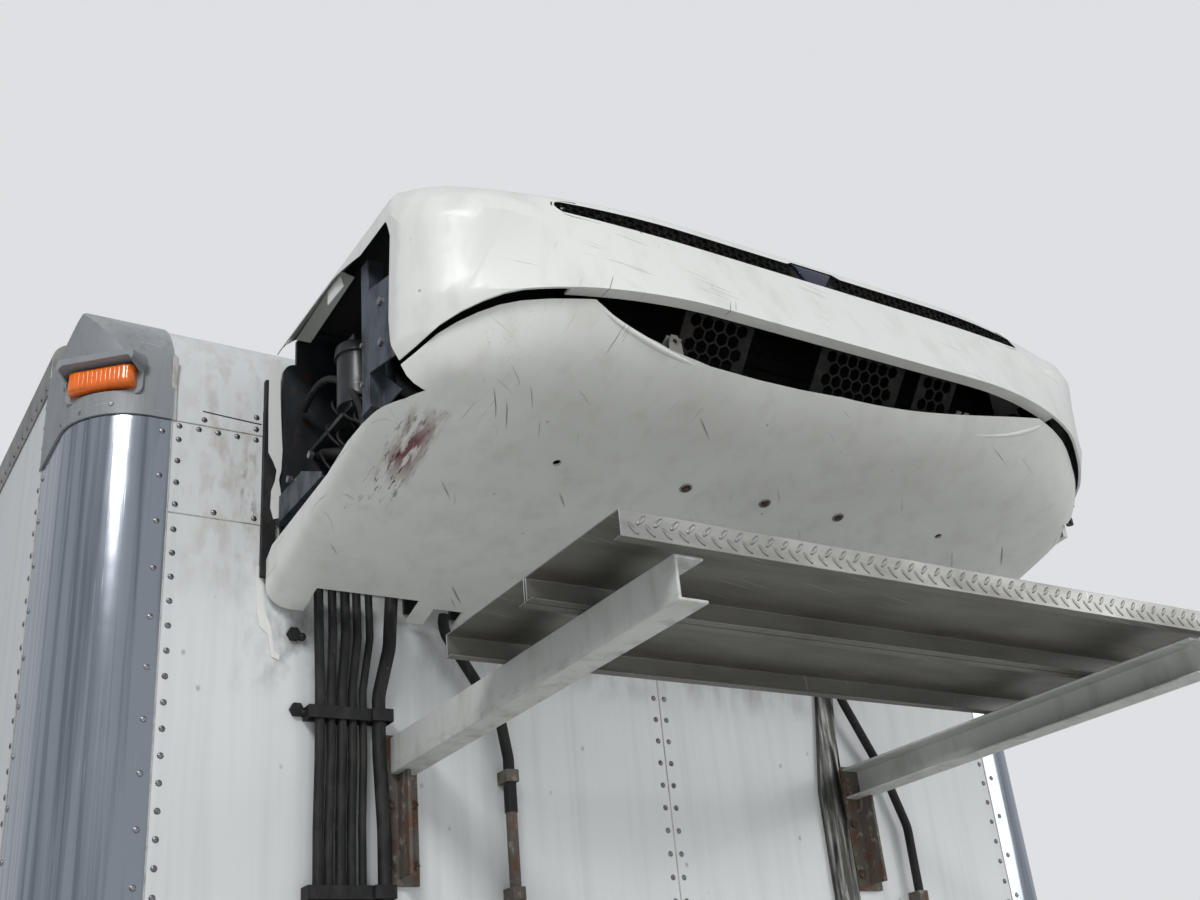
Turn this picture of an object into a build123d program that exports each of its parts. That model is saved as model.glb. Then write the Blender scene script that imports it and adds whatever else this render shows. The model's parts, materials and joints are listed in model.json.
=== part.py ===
from build123d import *
from math import asin, atan2, cos, degrees, radians, sin, sqrt
import os

os.makedirs("parts", exist_ok=True)

# Front section of a refrigerated truck's insulated body, with its nose-mounted cooling unit,
# service platform and clipped hoses. Millimetres. +Z up, the front faces -Y, +X is on the right
# seen from the front. The origin is on the underside of the front sill, in the plane of the
# wall's outer skin, midway between the sides.

# Fits
seat = 0.3                 # rest gap between pieces that seat on each other
panel_gap = 1.0            # seam between neighbouring skins
swing_gap = 6.0            # running gap round the service door
clip_gap = 0.3             # between a hose and its clip
shaft_clearance = 0.05     # radial, shaft in bore

# Insulated body
body_half = 1305.0         # half the width over the side walls
body_depth = 1160.0        # to the first full side-panel joint
wall_thick = 90.0
skin = 3.0
upper_seam = 2235.0        # top edge of the riveted front wall
lower_seam = upper_seam - 211.0
roof_top = upper_seam + 330.0
nose_radius = 265.0        # roof to front wall
corner_radius = 150.0      # front wall to side wall
post_front_leg = 40.0
post_side_end = 330.0      # rear edge of the corner post's side leg
sill_height = 120.0
sill_front = 30.0          # how far the sill stands out in front of the skin
centre_seam_x = 55.0
joint_x = body_half - corner_radius - post_front_leg

# Body corner caps, lamps and roof rails
cap_proud = 5.0
cap_wall = 5.0
cap_side_radius = 120.0
lamp_length, lamp_height, lamp_depth = 150.0, 52.0, 34.0
lamp_up = 84.0             # lamp centre above the upper seam
lamp_turn = 42.0           # lamp's facing, degrees from straight ahead
visor_reach = 30.0
rail_flange = 40.0
rail_thick = 3.0
rail_radius = 45.0

# Cooling unit: plan of its shells
unit_half = 915.0
nose_flat = 330.0          # half of the straight front
corner_turn = 200.0        # plan radius of the front corners
corner_reach = 605.0       # centre of the corner arcs, from the wall
shell_wall = 6.0
band_lip = 30.0            # inward return under the band
lower_lip = 16.0           # inward return under the air opening
seal_width, seal_deep = 28.0, 14.0
shell_rear = -(seal_deep + 2 * seat)   # rear edge of the shells, in front of the seal
crease_up = 148.0          # crease over the band, above the upper seam
band_low = -40.0           # lower edge of the band
band_slant = 0.41          # forward lean of the band, mm per mm down
crease_front = 811.0       # reach of the crease from the wall
crown_top = 306.0
crown_radius = 12000.0
crown_edge = 118.0         # rounding from the roof to the sides
floor_front = (-750.0, -180.0)   # two points on the unit's flat underside: y, height from the seam
floor_rear = (-20.0, -395.0)

# Side service openings
door_front = -606.0
door_top = 203.0
door_thick = 16.0
door_skin = 4.0
hinge_pin_radius = 5.0
hinge_out = 8.0            # hinge axis outside the door's face

# Evaporator
evap_half, evap_depth = 650.0, 330.0
evap_low, evap_high = -265.0, 45.0
neck_half = 480.0
neck_low, neck_high = -240.0, -30.0
fan_x, fan_radius, fan_blades = 300.0, 118.0, 5
fan_ring = 128.0
shaft_radius = 8.0

# Service platform
plank_half = 750.0
plank_thick = 3.0
plank_drop = 44.0
plank_return = 20.0
plank_top = upper_seam - 605.0
plank_front = -1066.0
plank_width = 282.0
plank_space = 4.0
arm_web_x = 640.0
arm_flange = 55.0
arm_height = 75.0
arm_thick = 6.0
arm_reach = 1040.0
bracket_width, bracket_height, bracket_thick = 76.0, 300.0, 10.0


def up(height):
    """Height above the sill's underside of a level given from the upper seam."""
    return upper_seam + height


def write(builder, name):
    builder.part.label = name
    export_step(builder.part, f"parts/{name}.step")


def shell_plan(plane, half, front, centre, radius, rear):
    """Plan of the cooling unit's shells: straight nose, wide shoulder arcs, corner arcs, straight sides.

    The plane's +Y points to the front. centre is how far forward the corner arcs' centres lie.
    """
    across, along = half - radius - nose_flat, front - centre
    shoulder_radius = (across ** 2 + along ** 2 - radius ** 2) / (2 * (along - radius))
    turn = degrees(asin(across / (shoulder_radius - radius)))
    with BuildSketch(plane) as face:
        with BuildLine():
            shoulder = JernArc((nose_flat, front), (1, 0), shoulder_radius, -turn)
            corner = JernArc(shoulder @ 1, shoulder % 1, radius, turn - 90)
            Line(corner @ 1, (half, rear))
            Line((half, rear), (0, rear))
            Line((0, front), (nose_flat, front))
            mirror(about=Plane.YZ)
        make_face()
    return face.sketch


def level_plane(height):
    """Horizontal plane at a height from the seam, with +Y to the front."""
    return Plane(origin=(0, 0, up(height)), x_dir=(-1, 0, 0), z_dir=(0, 0, 1))


def shell_block(levels, inset, rear):
    """Solid through the plans of a table of (height, front reach, corner set-back), shrunk by inset."""
    with BuildPart() as block:
        for height, front, set_back in levels:
            add(shell_plan(level_plane(height), unit_half - inset, front - inset, corner_reach - set_back,
                           corner_turn - inset, -rear))
        loft(ruled=True)
    return block.part


def side_slab(points, reach):
    """Solid with a side-view outline of (y, height from the seam), through the whole width."""
    with BuildPart() as slab:
        with BuildSketch(Plane.YZ):
            with BuildLine():
                Polyline(*[(y, up(z)) for y, z in points], close=True)
            make_face()
        extrude(amount=reach, both=True)
    return slab.part


def floor_height(y):
    """Height of the unit's flat underside at a distance y."""
    (y1, z1), (y2, z2) = floor_front, floor_rear
    return z1 + (y - y1) * (z2 - z1) / (y2 - y1)


# Front wall of the body

opening_half, opening_low, opening_high = neck_half + 12, neck_low - 12, neck_high + 12


def cut_neck_opening():
    """The hole in the wall through which the evaporator's neck passes."""
    with Locations((0, wall_thick / 2, up((opening_low + opening_high) / 2))):
        Box(2 * opening_half, 4 * wall_thick, opening_high - opening_low, mode=Mode.SUBTRACT)


def wall_skin(name, x_low, x_high, z_low, z_high):
    with BuildPart() as panel:
        with Locations(((x_low + x_high) / 2, 0, (z_low + z_high) / 2)):
            Box(x_high - x_low - panel_gap, skin, z_high - z_low - panel_gap,
                align=(Align.CENTER, Align.MIN, Align.CENTER))
        cut_neck_opening()
    write(panel, name)


wall_skin("front_panel_left", -joint_x, centre_seam_x, sill_height, lower_seam)
wall_skin("front_panel_right", centre_seam_x, joint_x, sill_height, lower_seam)
wall_skin("front_panel_upper", -joint_x, joint_x, lower_seam, upper_seam)


def wall_layer(name, outer_inset, thickness):
    """A layer of the front wall that turns both corners and ends where the side walls begin."""
    edge = body_half - outer_inset
    with BuildPart() as layer:
        with BuildSketch(Plane.XY.offset(sill_height + seat)):
            with BuildLine():
                FilletPolyline((-edge, post_side_end), (-edge, outer_inset), (edge, outer_inset),
                               (edge, post_side_end), radius=corner_radius - outer_inset)
                offset(amount=thickness, side=Side.LEFT)
            make_face()
        extrude(amount=upper_seam - sill_height - 2 * seat)
        cut_neck_opening()
    write(layer, name)


liner = 3.0
core_thick = wall_thick - skin - liner - 3 * seat
wall_layer("front_wall_core", skin + seat, core_thick)
wall_layer("front_wall_liner", skin + core_thick + 2 * seat, liner)

with BuildPart() as front_sill:
    with BuildSketch(Plane.YZ):
        with BuildLine():
            Polyline((-sill_front, 0), (wall_thick, 0), (wall_thick, sill_height), (-seat, sill_height),
                     (-seat, sill_height * 0.72), (-sill_front, sill_height * 0.6), close=True)
        make_face()
    extrude(amount=joint_x - panel_gap, both=True)
    with BuildSketch(Plane.XY):
        with BuildLine():
            edge = body_half - skin - seat
            FilletPolyline((-edge, post_side_end), (-edge, skin + seat), (edge, skin + seat),
                           (edge, post_side_end), radius=corner_radius - skin - seat)
            offset(amount=wall_thick - skin - seat, side=Side.LEFT)
        make_face()
    extrude(amount=sill_height)
    sill_bolt_x, sill_bolt_y, sill_bolt_radius = 1000.0, 50.0, 9.0
    with Locations(Plane.XY.offset(0)):
        with Locations((0, wall_thick / 2)):
            with GridLocations(2 * sill_bolt_x, sill_bolt_y, 2, 2):
                Hole(sill_bolt_radius, depth=2 * sill_height)
write(front_sill, "front_sill")

with BuildPart() as floor:
    with Locations((0, wall_thick + seat, 0)):
        Box(2 * (body_half - wall_thick - seat), body_depth - wall_thick - seat, sill_height,
            align=(Align.CENTER, Align.MIN, Align.MIN))
    fillet(floor.edges().filter_by(Axis.Z).group_by(Axis.Y)[0], corner_radius - wall_thick - seat)
write(floor, "load_floor")

for side, name in ((-1, "left"), (1, "right")):
    with BuildPart() as post:
        with BuildSketch(Plane.XY):
            with BuildLine():
                FilletPolyline((joint_x + panel_gap, 0), (body_half, 0), (body_half, post_side_end),
                               radius=corner_radius)
                offset(amount=skin, side=Side.LEFT)
            make_face()
        extrude(amount=upper_seam - seat)
    if side < 0:
        with BuildPart() as post_left:
            add(mirror(post.part, about=Plane.YZ))
        post = post_left
    write(post, f"corner_post_{name}")

    with BuildPart() as side_wall:
        with Locations((side * (body_half - wall_thick / 2), post_side_end + seat, 0)):
            Box(wall_thick, body_depth - post_side_end - seat, roof_top - wall_thick - seat,
                align=(Align.CENTER, Align.MIN, Align.MIN))
    write(side_wall, f"side_wall_{name}")

# Roof

with BuildPart() as roof_nose:
    with BuildSketch(Plane.YZ):
        with BuildLine():
            FilletPolyline((0, upper_seam), (0, roof_top), (post_side_end, roof_top), radius=nose_radius)
            offset(amount=wall_thick, side=Side.RIGHT)
        make_face()
    extrude(amount=joint_x - seat, both=True)
write(roof_nose, "roof_nose")

with BuildPart() as roof_panel:
    with Locations((0, post_side_end + seat, roof_top)):
        Box(2 * (body_half - wall_thick - seat), body_depth - post_side_end - seat, wall_thick,
            align=(Align.CENTER, Align.MIN, Align.MAX))
write(roof_panel, "roof_panel")

for side, name in ((-1, "left"), (1, "right")):
    with BuildPart() as rail:
        with BuildSketch(Plane.XZ.offset(-post_side_end - seat)):
            with BuildLine():
                inner, outer = body_half - wall_thick, body_half + rail_thick + seat
                low, high = roof_top - wall_thick, roof_top + rail_thick + seat
                Polyline((side * inner, low), (side * (body_half + seat), low),
                         (side * (body_half + seat), low - rail_flange), (side * outer, low - rail_flange),
                         (side * outer, high), (side * (inner - rail_flange), high),
                         (side * (inner - rail_flange), roof_top + seat), (side * inner, roof_top + seat),
                         close=True)
            make_face()
        extrude(amount=-(body_depth - post_side_end - seat))
        outer_edge = rail.edges().filter_by(Axis.Y).group_by(Axis.Z)[-1].sort_by(Axis.X)[0 if side < 0 else -1]
        fillet(outer_edge, rail_radius)
    write(rail, f"roof_rail_{name}")


# Corner caps with their marker lamps

def corner_block(grow, stretch):
    """Rounded body corner above the upper seam, grown outwards, longer by stretch where it is cut off."""
    edge = body_half + grow
    low, high, back = upper_seam - stretch, roof_top + grow, post_side_end + stretch
    inner = joint_x - stretch
    with BuildPart() as block:
        with BuildSketch(Plane.XY.offset(low)):
            with BuildLine():
                corner = FilletPolyline((inner, -grow), (edge, -grow), (edge, back),
                                        radius=corner_radius + grow)
                Polyline(corner @ 1, (inner, back), corner @ 0)
            make_face()
        extrude(amount=high - low)
        with BuildSketch(Plane.YZ):
            with BuildLine():
                curve = FilletPolyline((-grow, low), (-grow, high), (back, high), radius=nose_radius + grow)
                Polyline(curve @ 1, (back, low), curve @ 0)
            make_face()
        extrude(amount=2 * body_half, mode=Mode.INTERSECT)
        with BuildSketch(Plane.XZ):
            with BuildLine():
                brow = FilletPolyline((edge, low), (edge, high), (inner, high), radius=cap_side_radius + grow)
                Polyline(brow @ 1, (inner, low), brow @ 0)
            make_face()
        extrude(amount=-2 * body_half, both=True, mode=Mode.INTERSECT)
    return block.part


arc_x, arc_y = body_half - corner_radius, corner_radius
lamp_face = corner_radius + cap_proud - lamp_depth * 0.45    # lamp's back, from the corner arc's axis
lamp_normal = Vector(sin(radians(lamp_turn)), -cos(radians(lamp_turn)), 0)
lamp_origin = Vector(arc_x, arc_y, up(lamp_up)) + lamp_normal * lamp_face
lamp_plane = Plane(origin=lamp_origin, x_dir=(cos(radians(lamp_turn)), sin(radians(lamp_turn)), 0),
                   z_dir=lamp_normal)

pocket_gap = 5.0
with BuildPart() as cap:
    add(corner_block(cap_proud, 0))
    with BuildSketch(lamp_plane) as visor:
        with Locations((0, lamp_height * 0.62)):
            RectangleRounded(lamp_length + 40, lamp_height * 0.9, 20)
    extrude(amount=lamp_depth * 0.45 + visor_reach, taper=12)
    add(corner_block(cap_proud - cap_wall, 1), mode=Mode.SUBTRACT)
    with BuildSketch(lamp_plane):
        RectangleRounded(lamp_length + 2 * pocket_gap, lamp_height + 2 * pocket_gap, 12)
    extrude(amount=2 * visor_reach + lamp_depth, mode=Mode.SUBTRACT)
    with BuildSketch(lamp_plane.offset(-cap_wall)):
        RectangleRounded(lamp_length + 24, lamp_height + 24, 16)
    extrude(amount=cap_wall)

with BuildPart() as lamp:
    with BuildSketch(lamp_plane.offset(seat)):
        RectangleRounded(lamp_length, lamp_height, 8)
    extrude(amount=6)
    with BuildSketch(lamp_plane.offset(seat + 6)):
        RectangleRounded(lamp_length - 6, lamp_height - 6, 20)
    extrude(amount=lamp_depth - 6, taper=12)

for side, name in ((-1, "left"), (1, "right")):
    for piece, label in ((cap, "corner_cap"), (lamp, "marker_lamp")):
        with BuildPart() as placed:
            add(piece.part if side > 0 else mirror(piece.part, about=Plane.YZ))
        write(placed, f"{label}_{name}")

# Cooling unit: upper shell with its forward-leaning band

def band_front(level):
    return crease_front + (crease_up - level) * band_slant


bend_up = crease_up - 36   # where the corners begin to round over
tuck_up = -60.0            # where the corners begin to tuck in under the band
upper_levels = (                                     # height from the seam, front reach, corner set-back
    (tuck_up - 145, crease_front - 16, 118.0),
    (tuck_up - 105, crease_front + 27, 78.0),
    (tuck_up - 64, crease_front + 61, 38.0),
    (tuck_up, band_front(tuck_up), 14.0),
    (bend_up, band_front(bend_up), 0.0),
    (crease_up, crease_front, 13.0),
    (crease_up + 20, crease_front - 2, 30.0),
    (crease_up + 36, crease_front - 3, 45.0),
    (crease_up + 50, crease_front - 9, 60.0),
    (crease_up + 62, crease_front - 18, 74.0),
    (crease_up + 74, crease_front - 33, 89.0),
    (crease_up + 86, crease_front - 55, 105.0),
    (crease_up + 98, crease_front - 82, 125.0),
    (crease_up + 114, crease_front - 127, 160.0),
    (crease_up + 130, crease_front - 187, 205.0),
    (crease_up + 144, crease_front - 257, 262.0),
    (crease_up + 170, crease_front - 391, 390.0),
)
band_edge = (                                        # x, height of the band's lower edge at one side
    (400.0, band_low - 8), (520.0, band_low - 9), (595.0, band_low - 10), (668.0, band_low - 14),
    (720.0, band_low - 19), (754.0, band_low - 26), (786.0, band_low - 38), (818.0, band_low - 54),
    (847.0, band_low - 73), (873.0, band_low - 98), (890.0, band_low - 112), (unit_half + 20, band_low - 124))
far_below = -600.0


def under_band(drop):
    """Front-view outline of everything under the band's lower edge, moved down by drop."""
    right = [(x, z - drop) for x, z in band_edge]
    left = [(-x, z) for x, z in reversed(right)]
    return left + right + [(right[-1][0], far_below), (left[0][0], far_below)]


def front_slab(points, front):
    """Solid with a front-view outline of (x, height from the seam), over the whole depth from front."""
    with BuildPart() as slab:
        with BuildSketch(Plane.XZ.offset(-100)):
            with BuildLine():
                Polyline(*[(x, up(z)) for x, z in points], close=True)
            make_face()
        extrude(amount=front + 100)
    return slab.part


def crown_block(drop):
    """Everything under the unit's slightly crowned roof and its rounded side edges, moved down by drop."""
    with BuildPart() as block:
        with BuildSketch(Plane.XZ):
            with BuildLine():
                lean = degrees(atan2(unit_half - crown_edge, crown_radius))
                roof = JernArc((0, up(crown_top - drop)), (1, 0), crown_radius, -lean)
                edge = JernArc(roof @ 1, roof % 1, crown_edge, lean - 90)
                Polyline(edge @ 1, ((edge @ 1).X, up(far_below)), (0, up(far_below)))
                mirror(about=Plane.YZ)
            make_face()
        extrude(amount=1100, both=True)
    return block.part


lip_half = 640.0           # the band's inward return runs between these x
upper_outer = shell_block(upper_levels, 0, shell_rear) & crown_block(0)
upper_inner = shell_block(upper_levels, shell_wall, 2) & crown_block(shell_wall)
lip_line = [(x, z) for x, z in under_band(0)[:-2] if abs(x) < lip_half]
lip_line = [(-lip_half, lip_line[0][1])] + lip_line + [(lip_half, lip_line[-1][1])]
band_return = (upper_outer - shell_block(upper_levels, band_lip, 2)) & front_slab(
    lip_line + [(x, z + shell_wall) for x, z in reversed(lip_line)], 1000)
slot_half, slot_full = 640.0, 622.0
slot_low, slot_high = crease_up + 2, crease_up + 37
hump_half, hump_foot, hump_rise = 56.0, 74.0, 10.0     # the slot's higher middle
slot_depth, slot_rim = 20.0, 4.0
front_reach = 1000.0       # further forward than any piece of the unit


def slot_prism(grow):
    """Front-view shape of the long upper air slot, grown outwards."""
    with BuildPart() as prism:
        with BuildSketch(Plane.XZ.offset(crease_front - 100 - slot_depth)):
            with BuildLine():
                low, high, tip, full = slot_low - grow, slot_high + grow, slot_half + grow, slot_full + grow
                right = [(full, low), (tip, high - 18), (tip - 4, high - 6), (full - 6, high),
                         (hump_foot, high), (hump_half, high + hump_rise)]
                left = [(-x, z) for x, z in reversed(right)]
                Polyline(*[(x, up(z)) for x, z in right + left], close=True)
            make_face()
        extrude(amount=200 + slot_depth)
    return prism.part


door_outline = (                                     # y, height from the seam
    (5.0, -191.0), (-640.0, -191.0), (door_front - 6, 95.0), (-560.0, 140.0), (-445.0, 172.0),
    (-339.0, door_top), (5.0, door_top))

with BuildPart() as upper_shell:
    add(upper_outer)
    add(upper_inner, mode=Mode.SUBTRACT)
    add(band_return)
    add(front_slab(under_band(0), 1100), mode=Mode.SUBTRACT)
    slot_back = shell_block(upper_levels, shell_wall + slot_depth, 2)
    add((upper_inner - slot_back) & slot_prism(slot_rim))
    add(slot_prism(0), mode=Mode.SUBTRACT)
    for side in (-1, 1):
        with BuildSketch(Plane.YZ.offset(side * (unit_half - 90))):
            with BuildLine():
                Polyline(*[(y, up(z)) for y, z in door_outline], close=True)
            make_face()
        extrude(amount=side * 120, mode=Mode.SUBTRACT)
write(upper_shell, "upper_shell")

# Cooling unit: lower shell with its flat sloping underside and the smile-shaped air opening

lower_half = unit_half - 4
lower_turn = corner_turn - 4
floor_tilt = degrees(atan2(floor_front[1] - floor_rear[1], floor_rear[0] - floor_front[0]))
side_sill = ((-640.0, -205.0), (-612.0, -212.0), (-446.0, -227.0), (-348.0, -250.0),
             (-47.0, -274.0), (10.0, -310.0))
belly_levels = (                # height over the underside, side inset, front reach, shoulders' set-back
    (0.0, 52.0, -80.0, 34.0),
    (3.0, 34.0, -34.0, 42.0),
    (8.0, 22.0, 0.0, 52.0),
    (16.0, 11.0, 30.0, 64.0),
    (28.0, 3.0, 62.0, 78.0),
    (45.0, 0.0, 95.0, 92.0),
    (70.0, 0.0, 130.0, 108.0),
    (95.0, 0.0, 159.0, 122.0),
    (140.0, 0.0, 206.0, 136.0),
)


def belly_plane(lift):
    """Plane along the unit's sloping underside, lifted off it, with +Y up the slope to the front."""
    return Plane(origin=(0, floor_front[0], up(floor_front[1])), x_dir=(-1, 0, 0),
                 z_dir=(0, sin(radians(floor_tilt)), cos(radians(floor_tilt)))).offset(lift)


def belly_block(inset, rear):
    """Solid of the lower shell's outside, shrunk by inset, from sections along its underside to y = rear."""
    with BuildPart() as block:
        for lift, side_inset, front, set_back in belly_levels:
            radius = lower_turn - side_inset
            add(shell_plan(belly_plane(lift + inset), lower_half - side_inset - inset, front - inset,
                           front - set_back - radius, radius - inset, -front_reach))
        loft(ruled=True)
        with Locations((0, rear, up(0))):
            Box(4 * unit_half, 3 * unit_half, 3 * unit_half, align=(Align.CENTER, Align.MAX, Align.CENTER),
                mode=Mode.INTERSECT)
    return block.part


def above(line, lift, ceiling=400.0):
    return [(y, z + lift) for y, z in line] + [(line[-1][0], ceiling), (line[0][0], ceiling)]


smile_left, smile_right, smile_mid = -600.0, 640.0, -124.0


def smile_slab(drop):
    """Front-view shape of the air opening under the band, its lower edge moved down by drop."""
    with BuildPart() as slab:
        with BuildSketch(Plane.XZ.offset(690)):
            with BuildLine():
                arc = ThreePointArc((smile_left - drop, up(band_low - 10)), (0, up(smile_mid - drop)),
                                    (smile_right + drop, up(band_low - 10)))
                Polyline(arc @ 1, (smile_right + drop, up(0)), (smile_left - drop, up(0)), arc @ 0)
            make_face()
        extrude(amount=300)
    return slab.part


hose_notches = ((-830.0, -600.0, 90.0), (-560.0, -490.0, 70.0), (560.0, 640.0, 70.0))   # left x, right x, depth
rim_drop = 11.0            # the lower shell's rim below the band's lower edge
lower_outer = belly_block(0, shell_rear)
with BuildPart() as lower_shell:
    add(lower_outer)
    add(belly_block(shell_wall, 0), mode=Mode.SUBTRACT)
    add((lower_outer - belly_block(lower_lip, 0)) & smile_slab(shell_wall))
    rim_line = under_band(rim_drop)[:-2]
    add(front_slab(rim_line + [(unit_half + 20, 400), (-unit_half - 20, 400)], 1100), mode=Mode.SUBTRACT)
    add(side_slab(above(side_sill, 0), 1100), mode=Mode.SUBTRACT)
    add(smile_slab(0), mode=Mode.SUBTRACT)
    fastener_y, fastener_radius = -539.0, 9.0
    for x in (-515.0, -207.0, 0.0, 207.0, 515.0):
        with Locations(Location((x, fastener_y, up(floor_height(fastener_y))), (-floor_tilt, 0, 0))):
            Hole(fastener_radius, depth=40)
    for left, right, deep in hose_notches:
        with Locations(((left + right) / 2, 0, up(floor_height(0)))):
            Box(right - left, 2 * deep, 120, mode=Mode.SUBTRACT)
write(lower_shell, "lower_shell")

# Grilles of the unit

def honeycomb(width, height, cell, web):
    """Hexagonal holes over a panel, in rows that are offset by half a cell."""
    pitch = cell + web
    rows = int((height - web) / (pitch * sqrt(3) / 2))
    for row in range(rows):
        shift = pitch / 2 if row % 2 else 0.0
        count = int((width - web - shift * 2) / pitch)
        y = (row - (rows - 1) / 2) * pitch * sqrt(3) / 2
        for col in range(count):
            with Locations(((col - (count - 1) / 2) * pitch, y)):
                RegularPolygon(cell / sqrt(3), 6, rotation=30, mode=Mode.SUBTRACT)


grille_depth = 4.0
grille_inset = shell_wall + slot_depth + seat
with BuildPart() as upper_grille:
    add(shell_block(upper_levels, grille_inset, 2) - shell_block(upper_levels, grille_inset + grille_depth, 2))
    with BuildSketch(Plane.XZ):
        with Locations((0, up((slot_low + slot_high) / 2))):
            Rectangle(2 * slot_half + 10, slot_high - slot_low + 10)
            honeycomb(2 * slot_half - 20, slot_high - slot_low + 6, 16, 4)
    extrude(amount=front_reach, mode=Mode.INTERSECT)
write(upper_grille, "upper_grille")

centre_half_low, centre_half_high, centre_proud = 24.0, 55.0, 4.0
with BuildPart() as centre_piece:
    add(shell_block(upper_levels, shell_wall - centre_proud, 2) - shell_block(upper_levels, grille_inset - seat, 2))
    with BuildSketch(Plane.XZ):
        with BuildLine():
            Polyline((-centre_half_low, up(slot_low + seat)), (centre_half_low, up(slot_low + seat)),
                     (centre_half_high, up(slot_high + hump_rise - seat)),
                     (-centre_half_high, up(slot_high + hump_rise - seat)), close=True)
        make_face()
    extrude(amount=front_reach, mode=Mode.INTERSECT)
write(centre_piece, "grille_centre_piece")

# Unit frame, rails and machinery

back_half, back_low, back_high, back_thick = 880.0, -372.0, 190.0, 10.0
rail_x, rail_size, rail_low, rail_front = 530.0, 44.0, -165.0, -715.0
hoop_half, hoop_deep, hoop_thick = 850.0, 40.0, 6.0


def under_roof(drop, deep):
    """Everything under the unit's roof skin, down to the back plate's top, close to the wall."""
    with BuildPart() as block:
        add(crown_block(shell_wall + seat + drop))
        with Locations((0, -seat, up(back_high - 40))):
            Box(2 * hoop_half, deep, 2 * crown_top, align=(Align.CENTER, Align.MAX, Align.MIN),
                mode=Mode.INTERSECT)
    return block.part


with BuildPart() as unit_frame:
    with BuildSketch(Plane.XZ.offset(seat)):
        with Locations((0, up((back_low + back_high) / 2))):
            RectangleRounded(2 * back_half, back_high - back_low, 30)
        with Locations((0, up((neck_low + neck_high) / 2))):
            Rectangle(2 * neck_half, neck_high - neck_low, mode=Mode.SUBTRACT)
        for left, right, _ in hose_notches:
            with Locations(((left + right) / 2, up(back_low))):
                Rectangle(right - left, 80, mode=Mode.SUBTRACT)
    extrude(amount=back_thick)
    for side in (-1, 1):
        with Locations((side * rail_x, -seat - back_thick, up(rail_low))):
            Box(rail_size, -rail_front - back_thick - seat, rail_size,
                align=(Align.CENTER, Align.MAX, Align.MIN))
    with Locations((0, rail_front, up(rail_low))):
        Box(2 * rail_x + rail_size, rail_size, rail_size, align=(Align.CENTER, Align.MIN, Align.MIN))
    add(under_roof(0, back_thick))
    add(under_roof(0, hoop_deep) - under_roof(hoop_thick, hoop_deep))
write(unit_frame, "unit_frame")

deck = up(rail_low) + rail_size + seat
with BuildPart() as engine_block:
    with Locations((-60, -330, deck)):
        Box(2 * rail_x + 200 - 760, 330, 250, align=(Align.CENTER, Align.CENTER, Align.MIN))
    with Locations((0, -330, deck)):
        Box(2 * rail_x + rail_size, 120, 24, align=(Align.CENTER, Align.CENTER, Align.MIN))
    chamfer(engine_block.edges().filter_by(Axis.Y).group_by(Axis.Z)[-1], 30)
write(engine_block, "engine_block")

with BuildPart() as compressor:
    with BuildSketch(Plane.YZ.offset(320)):
        with Locations((-330, deck + 24 + seat + 90)):
            Circle(90)
        with Locations((-330, deck + 24 + seat)):
            Rectangle(120, 90, align=(Align.CENTER, Align.MIN))
    extrude(amount=200)
    with BuildSketch(Plane.YZ.offset(520)):
        with Locations((-330, deck + 24 + seat + 90)):
            Circle(62)
    extrude(amount=30)
write(compressor, "compressor")

coil_half, coil_thick, coil_high = 600.0, 46.0, 150.0
with BuildPart() as condenser_coil:
    with Locations((0, rail_front + 4, deck)):
        Box(2 * coil_half, coil_thick, up(coil_high) - deck, align=(Align.CENTER, Align.MIN, Align.MIN))
    coil_front = condenser_coil.faces().sort_by(Axis.Y)[0]
    with BuildSketch(Plane(origin=coil_front.center(), x_dir=(1, 0, 0), z_dir=(0, -1, 0))):
        with GridLocations(0, 36, 1, 6):
            Rectangle(2 * coil_half - 60, 26)
    extrude(amount=-12, mode=Mode.SUBTRACT)
write(condenser_coil, "condenser_coil")

rail_front_face = rail_front - seat
tab_width, tab_thick, tab_slot = 36.0, 4.0, 10.0
tab_table = ((-520.0, -784.0, -84.0), (-394.0, -800.0, -72.0), (380.0, -800.0, -72.0),
             (520.0, -784.0, -84.0))                 # centre x, tip y, tip height from the seam
with BuildPart() as shell_tabs:
    for x, tip_y, tip_up in tab_table:
        with BuildSketch(Plane.YZ.offset(x - tab_width / 2)):
            with BuildLine():
                Polyline((rail_front_face, up(rail_low + 4)), (rail_front_face, up(rail_low + rail_size)),
                         (tip_y, up(tip_up)))
                offset(amount=tab_thick, side=Side.LEFT)
            make_face()
        extrude(amount=tab_width)
        with Locations((x, tip_y + 6, up(tip_up))):
            Box(tab_slot, 44, 80, mode=Mode.SUBTRACT)
write(shell_tabs, "shell_tabs")

guard_tilt = 40.0
guard_table = (                                      # name, centre x, width
    ("guard_left", -290.0, 166.0),
    ("guard_centre", 84.0, 232.0),
    ("guard_right", 300.0, 108.0),
)
guard_height = 150.0
guard_foot_y, guard_foot_up = -736.0, rail_low + rail_size - grille_depth
guard_cell, guard_web = 24.0, 4.0
lean, rise = sin(radians(guard_tilt)), cos(radians(guard_tilt))
guard_y, guard_up = guard_foot_y - lean * guard_height / 2, guard_foot_up + rise * guard_height / 2
for name, x, width in guard_table:
    with BuildPart() as guard:
        with BuildSketch(Plane(origin=(x, guard_y, up(guard_up)), x_dir=(1, 0, 0), z_dir=(0, -rise, -lean))):
            RectangleRounded(width, guard_height, 8)
            honeycomb(width - 8, guard_height - 8, guard_cell, guard_web)
        extrude(amount=-grille_depth)
        with Locations((x, guard_foot_y, up(guard_foot_up))):
            Box(width - 20, rail_front_face - guard_foot_y, grille_depth,
                align=(Align.CENTER, Align.MIN, Align.MIN))
    write(guard, name)

# Left side of the engine bay, open because its door is gone

post_size, post_wall, post_inset = 34.0, 4.0, 49.0
post_low, post_high = -190.0, 165.0
foot_thick = 6.0


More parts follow.
